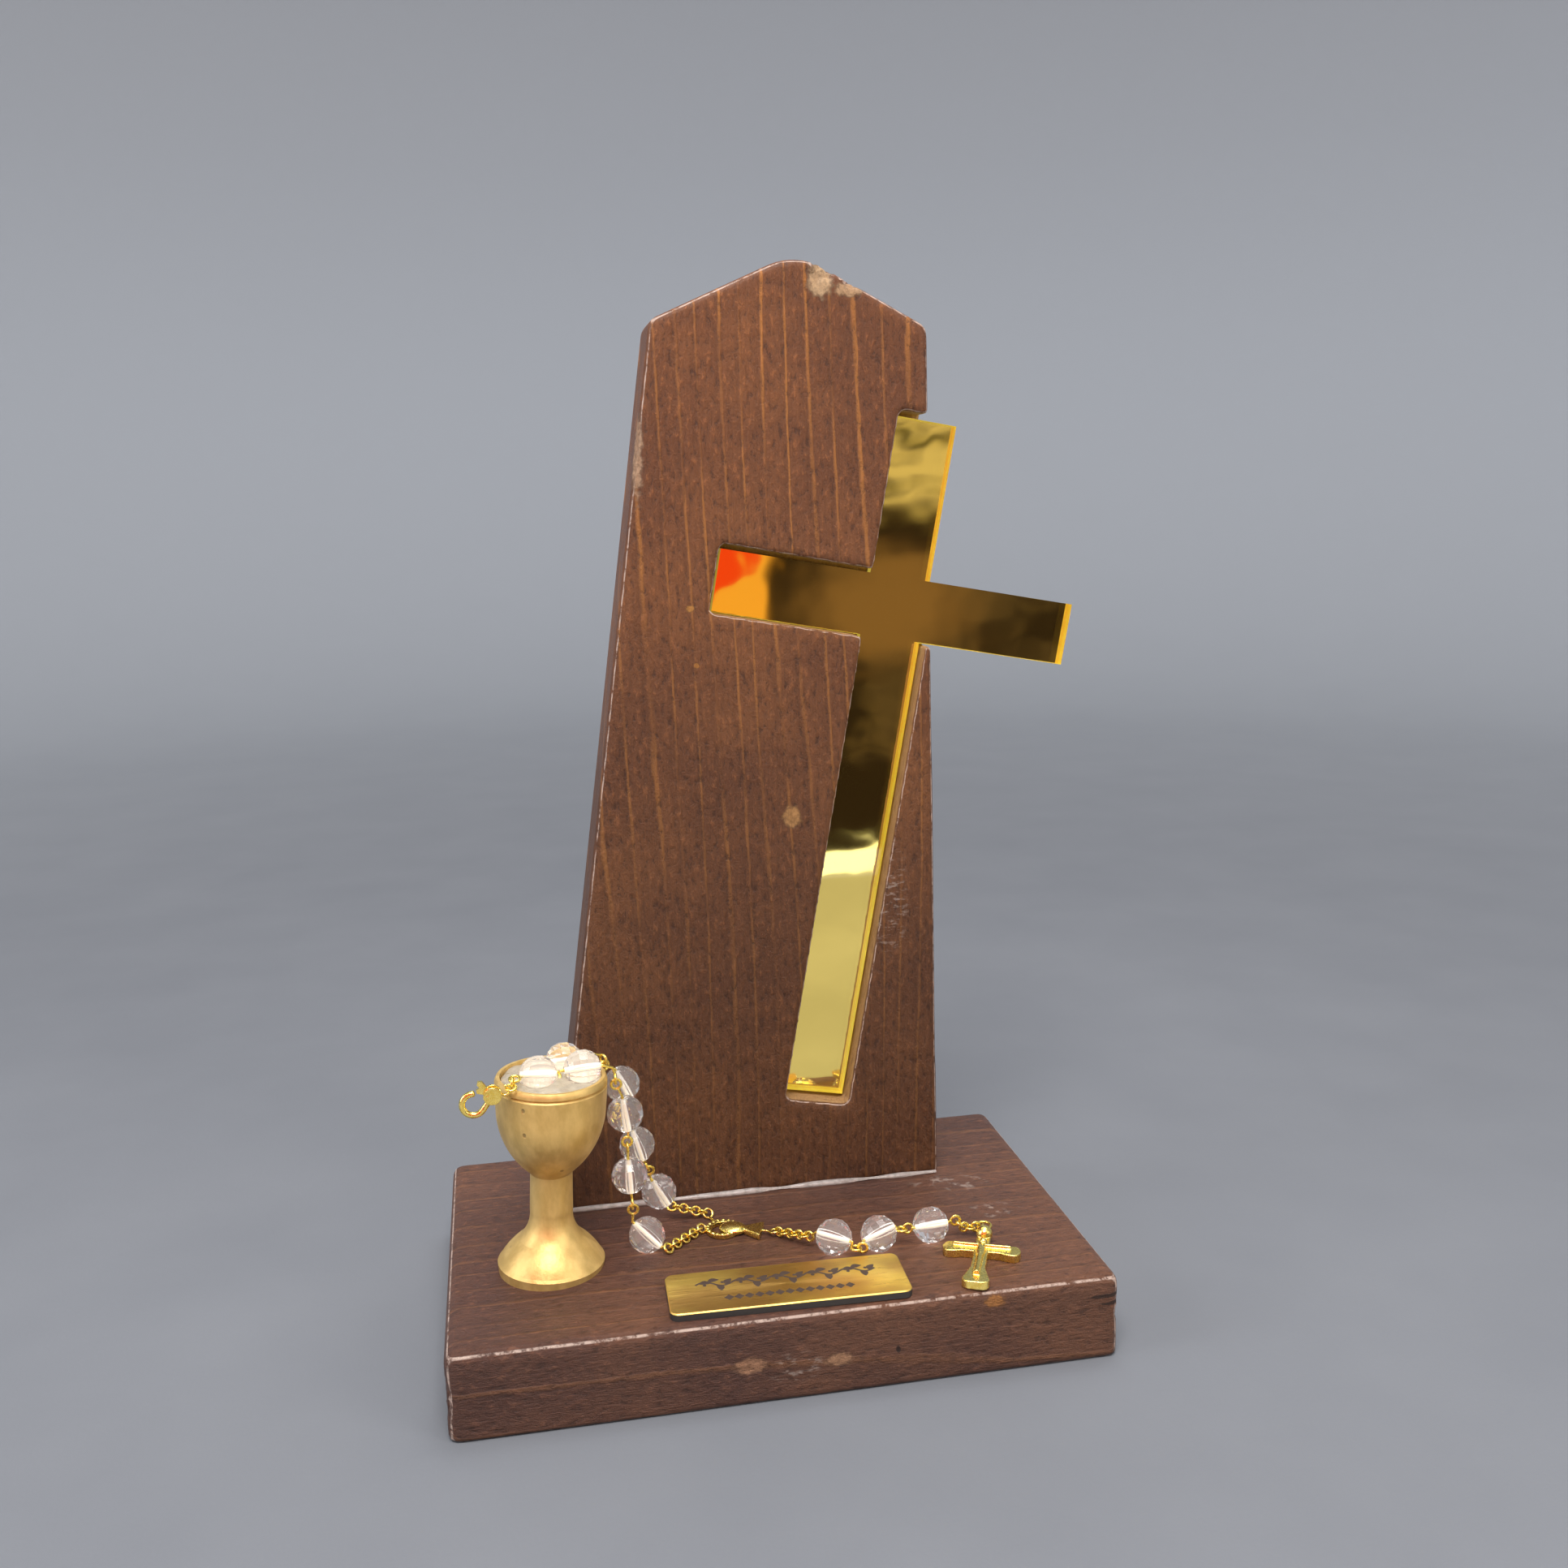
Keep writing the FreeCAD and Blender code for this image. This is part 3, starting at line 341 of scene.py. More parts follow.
def gold_paint():
    """Satin gold paint on cast resin, with brush haze, rubbed patches and a few bubbles."""
    g = Graph("gold_resin")
    haze = g.noise(g.vector("MULTIPLY", g.place, (1.0, 1.0, 0.45)), 0.35, 5, 0.6)
    tint = g.mix(g.step(haze, 0.3, 0.72), (0.62, 0.41, 0.13), (0.78, 0.545, 0.20))
    fine = g.noise(g.place, 5.0, 3, 0.7)
    tint = g.mix(g.step(fine, 0.62, 0.8, 0.0, 0.4), tint, (0.50, 0.32, 0.10))
    pit = g.step(g.cells(g.vector("ADD", g.place, (0.4, 0.0, 2.1)), 0.17), 0.10, 0.04)
    for dent in CUP_DENTS:
        pit = g.math("MAXIMUM", pit, g.spot(dent, (0.32, 2.0, 0.5), 0.4, 0.2))
    # painted shade: the bubbles and dents are darkened inside as well as pressed in by the bump
    tint = g.mix(g.product(pit, 0.6), tint, (0.20, 0.12, 0.045))
    relief = g.sum(g.product(g.noise(g.place, 0.8, 4, 0.55), 0.8), g.product(fine, 0.12))
    relief = g.math("SUBTRACT", relief, g.product(pit, 1.2))
    rough = g.step(haze, 0.3, 0.7, 0.40, 0.48)
    return g.surface(Base_Color=tint, Metallic=0.55, Roughness=rough, Normal=g.bump(relief, 0.09),
                     Specular_IOR_Level=0.6)


def brushed_plate():
    """Rolled plate brushed along its length, warm to lemon from one end to the other."""
    g = Graph("brushed_gold")
    turned = g.node("ShaderNodeVectorRotate", rotation_type="Z_AXIS")
    g.feed(turned.inputs["Vector"], g.place)
    turned.inputs["Angle"].default_value = -PLATE_TURN
    lines = g.vector("MULTIPLY", turned.outputs[0], (0.05, 3.0, 1.0))
    brush = g.noise(lines, 2.4, 4, 0.7)
    wide = g.noise(g.vector("MULTIPLY", turned.outputs[0], (0.06, 0.12, 1.0)), 1.0, 2)
    tint = g.mix(g.step(wide, 0.35, 0.65), (0.66, 0.42, 0.12), (0.92, 0.70, 0.17))
    tint = g.mix(g.step(brush, 0.55, 0.8, 0.0, 0.45), tint, (0.95, 0.80, 0.40))
    tint = g.mix(g.step(brush, 0.42, 0.25, 0.0, 0.5), tint, (0.34, 0.19, 0.06))
    return g.surface(Base_Color=tint, Metallic=0.9, Roughness=g.step(brush, 0.3, 0.7, 0.26, 0.46),
                     Anisotropic=0.6, Normal=g.bump(brush, 0.03))


def black_core():
    g = Graph("black_core")
    streak = g.noise(g.vector("MULTIPLY", g.place, (1.0, 1.0, 8.0)), 1.2, 4)
    tint = g.mix(streak, (0.012, 0.011, 0.011), (0.05, 0.046, 0.045))
    return g.surface(Base_Color=tint, Roughness=g.step(streak, 0.3, 0.7, 0.42, 0.62),
                     Normal=g.bump(streak, 0.05))


def dried_glue(name, tint, clear, cloud):
    g = Graph(name)
    murk = g.noise(g.place, 0.55, 4, 0.6)
    colour = g.mix(g.step(murk, 0.35, 0.65), tint, tuple(min(1.0, c * cloud) for c in tint))
    return g.surface(Base_Color=colour, Roughness=g.step(murk, 0.3, 0.7, 0.10, 0.26), IOR=1.46,
                     Transmission_Weight=clear, Normal=g.bump(g.noise(g.place, 0.8, 4, 0.55), 0.25))


def clear_bead():
    g = Graph("clear_bead")
    haze = g.noise(g.place, 0.5, 2)
    tint = g.mix(haze, (0.97, 0.965, 0.97), (1.0, 1.0, 1.0))
    return g.surface(Base_Color=tint, Roughness=g.step(haze, 0.3, 0.7, 0.0, 0.06), IOR=1.43,
                     Transmission_Weight=0.94)


def frosted_bore():
    g = Graph("frosted_bore")
    rings = g.noise(g.place, 2.5, 3)
    tint = g.mix(rings, (0.93, 0.92, 0.90), (1.0, 1.0, 0.99))
    return g.surface(Base_Color=tint, Roughness=g.step(rings, 0.3, 0.7, 0.35, 0.6), IOR=1.2,
                     Transmission_Weight=0.50)


def foam_strip():
    g = Graph("adhesive_strip")
    pores = g.noise(g.place, 4.0, 4)
    return g.surface(Base_Color=g.mix(pores, (0.75, 0.75, 0.72), (0.9, 0.9, 0.88)), Roughness=0.8,
                     Normal=g.bump(pores, 0.05))


def dark_inlay():
    g = Graph("etched_core")
    rub = g.noise(g.place, 3.0, 4)
    return g.surface(Base_Color=g.mix(rub, (0.03, 0.02, 0.018), (0.09, 0.06, 0.045)),
                     Roughness=g.step(rub, 0.3, 0.7, 0.4, 0.65))


# ---------------------------------------------------------------- mesh helpers
def new_piece(name, mesh, material, body, replaced=()):
    piece = bpy.data.objects.new(name, mesh)
    bpy.context.scene.collection.objects.link(piece)
    if material:
        mesh.materials.clear()
        mesh.materials.append(material)
    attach(piece, body)
    if replaced:
        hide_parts(*replaced)
    return piece


def mesh_from_bmesh(name, shape, smooth=True):
    mesh = bpy.data.meshes.new(name)
    shape.to_mesh(mesh)
    shape.free()
    mesh.polygons.foreach_set("use_smooth", [smooth] * len(mesh.polygons))
    return mesh


def remeshed(name, sources, voxel, rounds=0):
    """The CAD nodes as one even skin, with its edges melted a little by rounds of smoothing."""
    shape = bmesh.new()
    for source in sources:
        shape.from_mesh(nodes[source].data)
    bmesh.ops.remove_doubles(shape, verts=shape.verts, dist=1e-7)
    bmesh.ops.triangulate(shape, faces=shape.faces)
    mesh = mesh_from_bmesh(name + "_rough", shape)
    work = bpy.data.objects.new(name + "_work", mesh)
    bpy.context.scene.collection.objects.link(work)
    even = work.modifiers.new("even", "REMESH")
    even.mode = "VOXEL"
    even.voxel_size = voxel
    even.use_smooth_shade = True
    if rounds:
        melt = work.modifiers.new("melt", "SMOOTH")
        melt.factor = 0.5
        melt.iterations = rounds
    ready = bpy.context.evaluated_depsgraph_get()
    final = bpy.data.meshes.new_from_object(work.evaluated_get(ready))
    bpy.data.objects.remove(work)
    bpy.data.meshes.remove(mesh)
    final.name = name
    final.materials.clear()
    final.polygons.foreach_set("use_smooth", [True] * len(final.polygons))
    return final


def points_of(mesh):
    flat = np.empty(len(mesh.vertices) * 3)
    mesh.vertices.foreach_get("co", flat)
    return flat.reshape(-1, 3)


def normals_of(mesh):
    flat = np.empty(len(mesh.vertices) * 3, np.float32)
    mesh.vertex_normals.foreach_get("vector", flat)
    return flat.reshape(-1, 3).astype(float)


def set_points(mesh, points):
    mesh.vertices.foreach_set("co", points.ravel())
    mesh.update()


# ---------------------------------------------------------------- boards
BOARD_VOXEL = 0.75 * MM
WEAR_SCALE = 45                                    # waves of edge wear, per metre


def weathered(name, node, chips, material):
    """A board with hand-sanded, uneven arrises and chips: (centre, depth, half sizes) in metres."""
    crisp = remeshed(name, [node], BOARD_VOXEL)
    soft = remeshed(name + "_soft", [node], BOARD_VOXEL, rounds=5)
    points, smooth = points_of(crisp), points_of(soft)
    bpy.data.meshes.remove(soft)
    wear = np.array([0.35 + 0.65 * noise.noise(Vector(p) * WEAR_SCALE) for p in points])
    moved = points + (smooth - points) * np.clip(wear, 0.1, 1)[:, None]
    outward = normals_of(crisp)
    for centre, depth, half_sizes in chips:
        away = np.linalg.norm((moved - np.array(centre)) / np.array(half_sizes), axis=1)
        for i in np.flatnonzero(away < 1.0):
            at = Vector(moved[i])
            grit = 0.55 + 0.9 * noise.noise(at * 900) + 0.5 * noise.noise(at * 2600)
            moved[i] -= outward[i] * depth * max(0.0, grit) * min(1.0, (1 - away[i]) * 2.2)
    set_points(crisp, moved)
    return new_piece(name, crisp, material, body_of_node[node], [node])


# ---------------------------------------------------------------- beads
def bead_shape(name, radius, bore, sides=14):
    """Ball cut in long flats from end to end, with a ring of small facets near each end."""
    latitudes = [76, 56, 34, 12, -12, -34, -56, -76]
    shape = bmesh.new()
    rings = []
    for i, latitude in enumerate(latitudes):
        shift = 0.5 if i in (0, len(latitudes) - 1) else 0.0
        across = radius * cos(radians(latitude))
        rings.append([shape.verts.new((across * cos(2 * pi * (k + shift) / sides),
                                       across * sin(2 * pi * (k + shift) / sides),
                                       radius * sin(radians(latitude)))) for k in range(sides)])
    holes = [[shape.verts.new((bore * cos(2 * pi * (k + 0.5) / sides),
                               bore * sin(2 * pi * (k + 0.5) / sides), z)) for k in range(sides)]
             for z in (radius * 0.955, -radius * 0.955)]
    for k in range(sides):
        n = (k + 1) % sides
        for high, low in zip(rings[1:-2], rings[2:-1]):
            shape.faces.new((high[k], low[k], low[n], high[n]))
        for end, ring in ((rings[0], rings[1]), (rings[-1], rings[-2])):
            shape.faces.new((end[k], ring[k], ring[n]))
            shape.faces.new((end[k], ring[n], end[n]))
        for end, hole in ((rings[0], holes[0]), (rings[-1], holes[1])):
            shape.faces.new((end[k], end[n], hole[n], hole[k]))
        wall = shape.faces.new((holes[0][k], holes[0][n], holes[1][n], holes[1][k]))
        wall.material_index = 1
    bmesh.ops.recalc_face_normals(shape, faces=shape.faces)
    return mesh_from_bmesh(name, shape, smooth=False)


def make_beads(clear, frosted):
    for i, node in enumerate(BEADS):
        low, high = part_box(node)
        centre, radius = (low + high) / 2, (high - low).z / 2
        mesh = bead_shape(node + "_facets", radius, BORE)
        along = bore_axis_of(node)
        turn = along.to_track_quat("Z", "Y").to_matrix().to_4x4()
        mesh.transform(Matrix.Translation(centre) @ turn @ Matrix.Rotation(0.37 * i, 4, "Z"))
        mesh.materials.append(clear)
        mesh.materials.append(frosted)
        piece = new_piece(node + "_facets", mesh, None, body_of_node[node], [node])
        piece.visible_shadow = False


def bore_axis_of(node):
    """Direction of a bead's bore: its spin joint's axis, or the length of the wire through it."""
    for joint in frame["joints"]:
        if joint["name"] == node + "_spin":
            return Vector(joint["axis"])
    points = points_of(nodes[node.replace("bead", "eye_pin")].data)
    centre = np.array(sum(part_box(node), Vector()) / 2)
    wire = points[np.linalg.norm(points - centre, axis=1) < 4.7 * MM] - centre
    return Vector(np.linalg.svd(wire, full_matrices=False)[2][0])


# ---------------------------------------------------------------- cast and glued pieces
def cast(name, sources, voxel, rounds, material, dents=0.0, scale=400):
    """Small cast pieces: the CAD solids as one soft-edged skin, with slight waviness."""
    mesh = remeshed(name, sources, voxel, rounds)
    if dents:
        points, outward = points_of(mesh), normals_of(mesh)
        lift = np.array([noise.noise(Vector(p) * scale) for p in points])
        set_points(mesh, points + outward * (lift * dents)[:, None])
    node = sources[0]
    return new_piece(name, mesh, material, body_of_node[node], sources)


def cross_film(material):
    """The reflecting film, laminated into the back of the acrylic cross."""
    source = nodes["cross_mirror"].data
    front = min(v.co.y for v in source.vertices)
    shape = bmesh.new()
    shape.from_mesh(source)
    bmesh.ops.delete(shape, geom=[f for f in shape.faces if f.normal.y > -0.9], context="FACES")
    bmesh.ops.delete(shape, geom=[v for v in shape.verts if not v.link_faces], context="VERTS")
    bmesh.ops.remove_doubles(shape, verts=shape.verts, dist=1e-6)
    for corner in shape.verts:
        corner.co.y = front - 0.05 * MM
    mesh = mesh_from_bmesh("cross_film", shape, smooth=False)
    new_piece("cross_film", mesh, material, body_of_node["cross_mirror"])


# ---------------------------------------------------------------- name plate ornament
def on_plate(right, up, lift=0.0):
    """Plate coordinates, from its middle, to the row frame."""
    middle = (PLATE_LOW + PLATE_HIGH) / 2
    flat = Matrix.Rotation(PLATE_TURN, 3, "Z") @ Vector((right, up, 0))
    return Vector((middle.x + flat.x, middle.y + flat.y, PLATE_HIGH.z + lift))


def add_leaf(shape, root, heading, length, width):
    """A pointed leaf with a folded middle, lying on the plate."""
    steps = 7
    left, right = [], []
    ahead = Vector((cos(heading), sin(heading)))
    side = Vector((-ahead.y, ahead.x))
    spine = []
    for i in range(steps + 1):
        share = i / steps
        half = width / 2 * sin(pi * share) ** 0.8
        at = Vector(root) + ahead * length * share + side * width * 0.25 * sin(pi * share)
        spine.append(shape.verts.new(on_plate(at.x, at.y, RAISED)))
        left.append(shape.verts.new(on_plate(*(at + side * half), ENGRAVED)))
        right.append(shape.verts.new(on_plate(*(at - side * half), ENGRAVED)))
    for i in range(steps):
        shape.faces.new((spine[i], left[i], left[i + 1], spine[i + 1]))
        shape.faces.new((right[i], spine[i], spine[i + 1], right[i + 1]))


def add_stem(shape, path, width):
    """A thin raised line along points on the plate."""
    rows = []
    for i, at in enumerate(path):
        before, after = Vector(path[max(i - 1, 0)]), Vector(path[min(i + 1, len(path) - 1)])
        ahead = (after - before).normalized()
        side = Vector((-ahead.y, ahead.x)) * width / 2
        at = Vector(at)
        rows.append([shape.verts.new(on_plate(*(at + side * k), lift))
                     for k, lift in ((-1, ENGRAVED), (0, 0.05 * MM), (1, ENGRAVED))])
    for a, b in zip(rows, rows[1:]):
        for k in (0, 1):
            shape.faces.new((a[k], b[k], b[k + 1], a[k + 1]))


def add_boss(shape, x, y, radius, sides):
    """A low pyramid: a berry with many sides, a lozenge with four."""
    middle = shape.verts.new(on_plate(x, y, RAISED))
    rim = [shape.verts.new(on_plate(x + radius * cos(2 * pi * k / sides),
                                    y + radius * sin(2 * pi * k / sides), ENGRAVED))
           for k in range(sides)]
    for k in range(sides):
        shape.faces.new((middle, rim[k], rim[(k + 1) % sides]))


def ornament(material):
    """A leafy garland with berries over a row of linked lozenges."""
    shape = bmesh.new()
    half, wave, rise = 19.0 * MM, 0.95 * MM, 2.5 * MM
    turns, stem_parts, lozenges = 5, 160, 13

    def garland(share):
        return -half + 2 * half * share, rise + wave * sin(2 * pi * turns * share)

    add_stem(shape, [garland(i / stem_parts) for i in range(stem_parts + 1)], 0.5 * MM)
    for i in range(4 * turns):
        share = (i + 0.35) / (4 * turns)
        slope = 2 * pi * turns * wave / (2 * half) * cos(2 * pi * turns * share)
        side = 1 if i % 2 else -1
        add_leaf(shape, garland(share), atan(slope) + side * radians(38), 2.6 * MM, 1.5 * MM)
    for i in range(2 * turns):
        share = (i + 0.5) / (2 * turns)
        x, y = garland(share)
        add_boss(shape, x, y + (1.3 if i % 2 else -1.3) * MM, 0.42 * MM, 8)
    for i in range(lozenges):
        add_boss(shape, (i - lozenges // 2) * 2.1 * MM, -3.4 * MM, 1.05 * MM, 4)
    bmesh.ops.recalc_face_normals(shape, faces=shape.faces)
    for face in shape.faces:
        if face.normal.z < 0:
            face.normal_flip()
    mesh = mesh_from_bmesh("plate_ornament", shape)
    new_piece("plate_ornament", mesh, material, body_of_node["plaque_face"])


# ---------------------------------------------------------------- stage
def build_floor():
    """Pale seamless studio bowl: a flat disc that curves up into a wall."""
    flat, bend, wall_top, turns = 0.9, 0.55, 1.6, 96
    shape = bmesh.new()
    profile = [(0.0, 0.0), (0.3, 0.0), (flat, 0.0)]
    profile += [(flat + bend * sin(t * pi / 20), bend * (1 - cos(t * pi / 20))) for t in range(1, 11)]
    profile.append((flat + bend, wall_top))
    rings = []
    for radius, height in profile:
        if radius == 0:
            rings.append([shape.verts.new((0, 0, height))] * turns)
        else:
            rings.append([shape.verts.new((radius * cos(2 * pi * k / turns),
                                           radius * sin(2 * pi * k / turns), height))
                          for k in range(turns)])
    for a, b in zip(rings, rings[1:]):
        for k in range(turns):
            n = (k + 1) % turns
            corners = [a[k], b[k], b[n], a[n]] if a[k] is not a[n] else [a[k], b[k], b[n]]
            shape.faces.new(corners)
    bmesh.ops.recalc_face_normals(shape, faces=shape.faces)
    floor = bpy.data.objects.new("floor", mesh_from_bmesh("floor", shape))
    floor.location.z = BASE_LOW.z
    bpy.context.scene.collection.objects.link(floor)
    g = Graph("pale_paper")
    mottle = g.noise(g.place, 0.02, 4)
    height = g.split(g.place)[2]
    rising = g.step(g.vector("LENGTH", g.place), 300.0, 1700.0)
    level = g.mix(mottle, (0.160, 0.168, 0.188), (0.190, 0.198, 0.218))
    wall = g.mix(g.step(height, 250.0, 800.0), (0.50, 0.52, 0.56), (0.46, 0.47, 0.50))
    tint = g.mix(rising, level, wall)
    floor.data.materials.append(g.surface(Base_Color=tint, Roughness=0.7, Specular_IOR_Level=0.0,
                                          Normal=g.bump(g.noise(g.place, 1.2, 4), 0.05)))


def mirror_card(name, mesh_corners, lift=0.0):
    """A stage rectangle that reflections see and nothing else does."""
    mesh = bpy.data.meshes.new(name)
    mesh.from_pydata(mesh_corners, [], [(0, 1, 2, 3)])
    card = bpy.data.objects.new(name, mesh)
    card.location.z = lift
    bpy.context.scene.collection.objects.link(card)
    card.visible_camera = False
    card.visible_diffuse = False
    card.visible_shadow = False
    card.visible_volume_scatter = False
    return mesh


def build_room():
    """A dim room behind the camera, with an orange and red thing low on its left, painted on a glowing card that
    only reflections see: painted reflection for the cross and the gold.
    """
    wide, high, away = 0.9, 0.75, BENCH_EDGES[0]
    wall = mirror_card("dim_wall", [(-wide, away, 0), (wide, away, 0), (wide, away, high),
                                    (-wide, away, high)])
    g = Graph("dim_room")
    x, _, z = g.split(g.place)[:3]
    blur = g.noise(g.vector("MULTIPLY", g.place, (1.0, 1.0, 1.6)), 0.016, 3, 0.5)
    tint = g.mix(g.step(blur, 0.42, 0.70), DIM_BROWN, (0.12, 0.075, 0.045))
    tint = g.mix(g.spot((168, away / MM, 122), (48, 60, 30), 0.6, 0.35), tint, (0.24, 0.125, 0.060))
    shelves = g.noise(g.vector("MULTIPLY", g.place, (0.012, 1.0, 0.05)), 1.0, 3, 0.6)
    upper = g.mix(g.step(shelves, 0.36, 0.52), (0.10, 0.075, 0.03), (0.72, 0.54, 0.30))
    tint = g.mix(g.step(z, 172, 186), tint, upper)
    warm = g.product(g.step(x, 104, 92), g.step(z, 92, 100))
    tint = g.mix(warm, tint, (1.0, 0.44, 0.07))
    red = g.product(g.step(g.math("MULTIPLY_ADD", x, -0.75, z), 79, 82), g.step(x, 92, 86))
    tint = g.mix(g.product(warm, red), tint, (0.95, 0.07, 0.015))
    wall.materials.append(g.finished(g.shader("Emission", Color=tint)))


def build_bench():
    """The lit table in front of the stand, with its bright far edge, painted on a glowing card that only
    reflections see: painted reflection.
    """
    wide, (far, near) = 0.9, BENCH_EDGES
    bench = mirror_card("lit_bench", [(-wide, far, 0), (wide, far, 0), (wide, near, 0), (-wide, near, 0)],
                        BASE_LOW.z + 0.2 * MM)
    g = Graph("lit_bench")
    y = g.split(g.place)[1]
    blot = g.noise(g.place, 0.012, 3, 0.5)
    tint = g.mix(g.step(blot, 0.35, 0.65), (0.60, 0.53, 0.42), (0.70, 0.62, 0.50))
    # painted highlight: a band near the far edge glows about twice as bright as the rest of the table
    tint = g.mix(g.step(y, -336, -343), tint, (2.1, 2.0, 1.8))
    tint = g.mix(g.step(y, -392, -397), tint, DIM_BROWN)
    bench.materials.append(g.finished(g.shader("Emission", Color=tint)))


def area_light(name, at, target, size, power, colour=(1, 1, 1)):
    data = bpy.data.lights.new(name, "AREA")
    data.shape = "RECTANGLE"
    data.size, data.size_y = size
    data.energy = power
    data.color = colour
    light = bpy.data.objects.new(name, data)
    light.location = at
    light.rotation_euler = (Vector(target) - Vector(at)).to_track_quat("-Z", "Y").to_euler()
    bpy.context.scene.collection.objects.link(light)
    return light


def build_lights():
    middle = (0.0, 0.0, 0.10)
    area_light("key", (-0.12, -0.52, 1.0), middle, (0.56, 0.46), 13.0, (1.0, 0.97, 0.93))
    area_light("top", (0.15, 0.25, 1.15), middle, (0.7, 0.5), 6.0, (1.0, 0.99, 0.98))
    area_light("side", (-0.85, -0.1, 0.45), middle, (0.35, 0.5), 3.0, (0.97, 0.98, 1.0))
    area_light("fill", (0.55, -0.55, 0.40), middle, (0.30, 0.40), 2.2, (1.0, 0.96, 0.90))
    world = bpy.data.worlds.new("studio")
    world.use_nodes = True
    sky = world.node_tree.nodes["Background"]
    sky.inputs["Color"].default_value = (0.93, 0.96, 1.0, 1)
    sky.inputs["Strength"].default_value = 0.5
    bpy.context.scene.world = world
    bpy.context.scene.view_settings.view_transform = "Standard"


def build_camera():
    """Just left of the stand, level with the cross's crossing and looking down at it."""
    yaw, pitch, roll = radians(-10.84), radians(-10.63), radians(-1.19)
    ahead = Vector((-sin(yaw) * cos(pitch), cos(yaw) * cos(pitch), sin(pitch)))
    right = Vector((cos(yaw), sin(yaw), 0))
    up = right.cross(ahead)
    turned_right = right * cos(roll) + up * sin(roll)
    turned_up = up * cos(roll) - right * sin(roll)
    data = bpy.data.cameras.new("camera")
    data.sensor_width = 36.0
    data.lens = 34.09
    data.clip_start, data.clip_end = 0.01, 20
    camera = bpy.data.objects.new("camera", data)
    camera.matrix_world = Matrix.Translation((-0.05184, -0.31388, 0.17910)) @ Matrix(
        (turned_right, turned_up, -ahead)).transposed().to_4x4()
    bpy.context.scene.collection.objects.link(camera)
    bpy.context.scene.camera = camera


# ---------------------------------------------------------------- the object
def on_board(x, height):
    """Point on the back board's front face, millimetres from the middle and above the floor."""
    return (x, BACK_LOW.y / MM, height)


def cover(node, material):
    """A CAD node keeps its shape and takes a finished material."""
    mesh = nodes[node].data
    mesh.materials.clear()
    mesh.materials.append(material)


def round_edges(node, width):
    bevel = nodes[node].modifiers.new("eased", "BEVEL")
    bevel.width = width
    bevel.segments = 2
    bevel.limit_method = "ANGLE"
    bevel.angle_limit = radians(40)


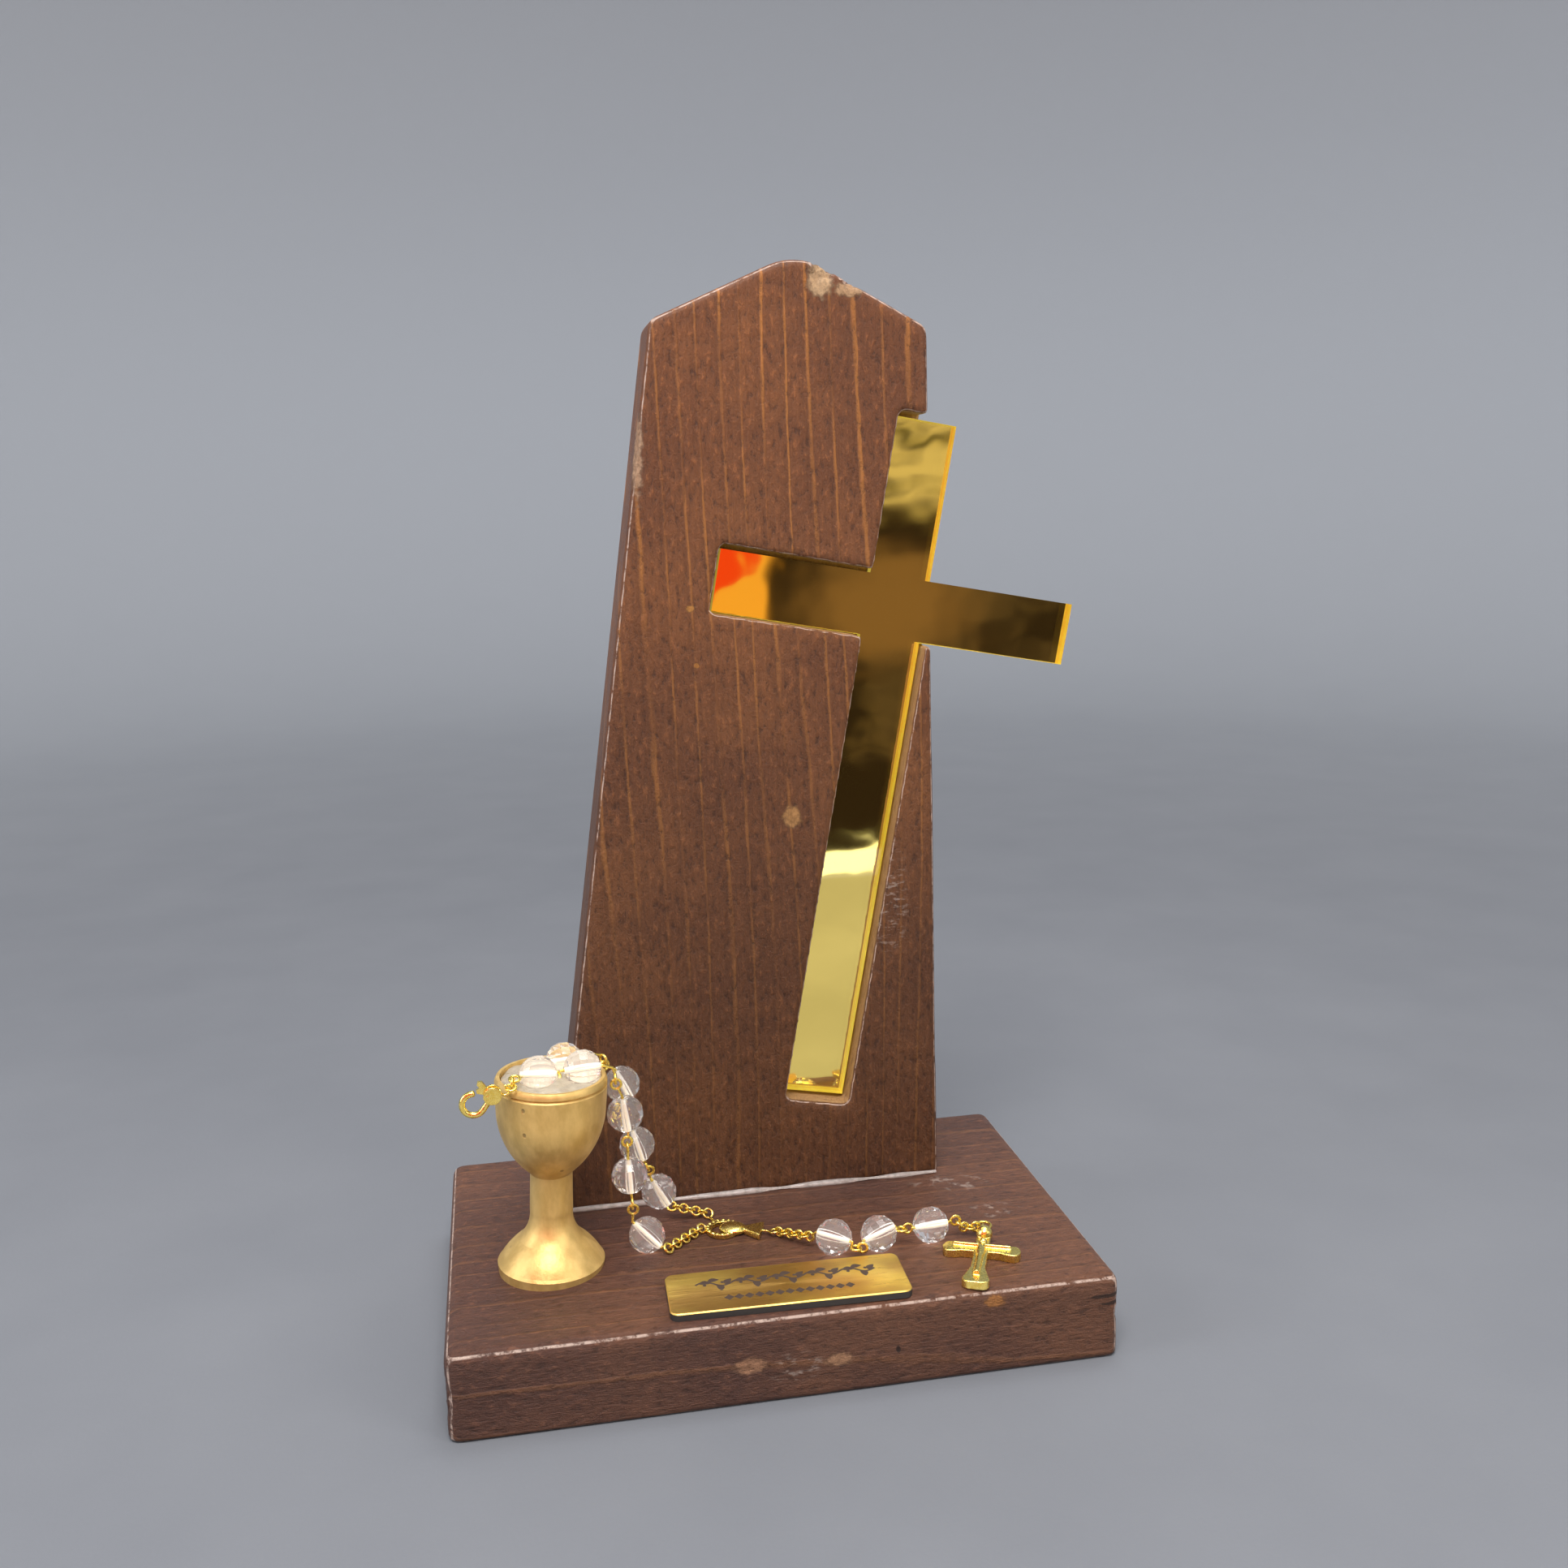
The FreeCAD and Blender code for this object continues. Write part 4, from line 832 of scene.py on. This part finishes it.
def build_boards():
    upper = stained_wood(
        "stained_pine_upright", "x", "z", "y", heart=(-190.0, 60.0),
        dark=(0.126, 0.045, 0.018), mid=(0.202, 0.074, 0.025), line=(0.50, 0.195, 0.040),
        fade=(30.0, 235.0, 0.70, 1.30), raw=recess_walls,
        spots=[(on_board(12.2, 109), (2.0, 3, 2.6), (0.46, 0.23, 0.08)),
               (on_board(-9.7, 157.2), (0.9, 2, 0.7), (0.55, 0.24, 0.05)),
               (on_board(-8.7, 144.6), (0.6, 2, 0.6), (0.50, 0.20, 0.04)),
               (on_board(-20.4, 193), (1.5, 4, 11.0), (0.50, 0.30, 0.18)),
               (on_board(20.6, 226.6), (2.6, 4, 3.6), (0.62, 0.40, 0.22)),
               (on_board(27.0, 224.6), (3.2, 4, 1.5), (0.50, 0.30, 0.16))],
        scars=[(on_board(35, 88), (4, 4, 12))])
    lower = stained_wood(
        "stained_pine_base", "y", "x", "z", heart=(150.0, -110.0),
        dark=(0.088, 0.038, 0.027), mid=(0.150, 0.063, 0.034), line=(0.22, 0.092, 0.038),
        spots=[((-9.6, -44.5, 8.8), (3.2, 1.5, 1.7), (0.40, 0.20, 0.11)),
               ((8.9, -44.5, 7.7), (2.9, 1.5, 1.4), (0.42, 0.22, 0.12)),
               ((42.0, -44.5, 16.2), (2.2, 2.5, 1.2), (0.40, 0.16, 0.04)),
               ((21.2, -44.5, 8.3), (0.45, 1.5, 0.8), (0.020, 0.012, 0.010)),
               ((66.5, -44.5, 14.3), (3.6, 2.5, 0.45), (0.022, 0.011, 0.008)),
               ((68.2, -44.0, 12.5), (2.6, 2.5, 0.40), (0.022, 0.011, 0.008))],
        scars=[((0.0, -44.5, 7.0), (5, 2, 3.0)), ((53, -10.8, 18.7), (6, 3.5, 2)),
               ((48, 5, 18.7), (9, 4, 2))])
    weathered("back_board_wood", "back_board", [
        ((21.0 * MM, BACK_LOW.y, 228.5 * MM), 1.2 * MM, (3.4 * MM, 5 * MM, 3.6 * MM)),
        ((27.5 * MM, BACK_LOW.y, 226.0 * MM), 0.8 * MM, (3.6 * MM, 3 * MM, 1.8 * MM)),
        ((-21.0 * MM, BACK_LOW.y, 193.0 * MM), 0.6 * MM, (2.2 * MM, 3 * MM, 12 * MM)),
    ], upper)
    weathered("base_board_wood", "base_board", [
        ((BASE_HIGH.x, -38 * MM, 10 * MM), 0.6 * MM, (2.2 * MM, 8 * MM, 5 * MM)),
        ((BASE_LOW.x, -40 * MM, 9 * MM), 0.5 * MM, (2.2 * MM, 6 * MM, 6 * MM)),
        ((-9.6 * MM, BASE_LOW.y, 8.8 * MM), 0.35 * MM, (3.4 * MM, 2 * MM, 1.8 * MM)),
        ((8.9 * MM, BASE_LOW.y, 7.7 * MM), 0.35 * MM, (3.0 * MM, 2 * MM, 1.5 * MM)),
    ], lower)


def build_all():
    build_boards()
    cover("cross_plate", amber_acrylic())
    cover("cross_mirror", mirror_backing())
    cross_film(mirror_film())
    cover("cross_adhesive", foam_strip())
    round_edges("cross_plate", 0.2 * MM)
    cover("plaque_core", black_core())
    cover("plaque_face", brushed_plate())
    ornament(dark_inlay())
    cover("chalice", gold_paint())
    glue = dried_glue("clear_glue", (0.52, 0.45, 0.42), 0.55, 1.4)
    cup_glue = dried_glue("cup_glue_cloud", (0.70, 0.62, 0.48), 0.55, 1.2)
    cast("joint_glue_bead", ["joint_glue"], 0.28 * MM, 3, glue, dents=0.45 * MM, scale=120)
    cast("cup_glue_mound", ["cup_glue"], 0.4 * MM, 3, cup_glue, dents=0.5 * MM, scale=220)
    make_beads(clear_bead(), frosted_bore())
    wire = bright_gold("gold_wire", (1.0, 0.84, 0.24), 0.24)
    for node, slot in slot_of_node.items():
        if slot == "gold_wire":
            cover(node, wire)
    plating = bright_gold("cast_gold", (1.0, 0.86, 0.30), 0.22, grit=1.0)
    cast("centrepiece_cast", ["centrepiece"], 0.14 * MM, 3, plating)
    cast("crucifix_cast", ["crucifix", "corpus"], 0.14 * MM, 2, plating)
    cast("clasp_cast", ["clasp_body"], 0.12 * MM, 2, plating)
    for node in ("clasp_lever", "clasp_pin"):
        cover(node, plating)


build_all()
build_floor()
build_room()
build_bench()
build_lights()
build_camera()
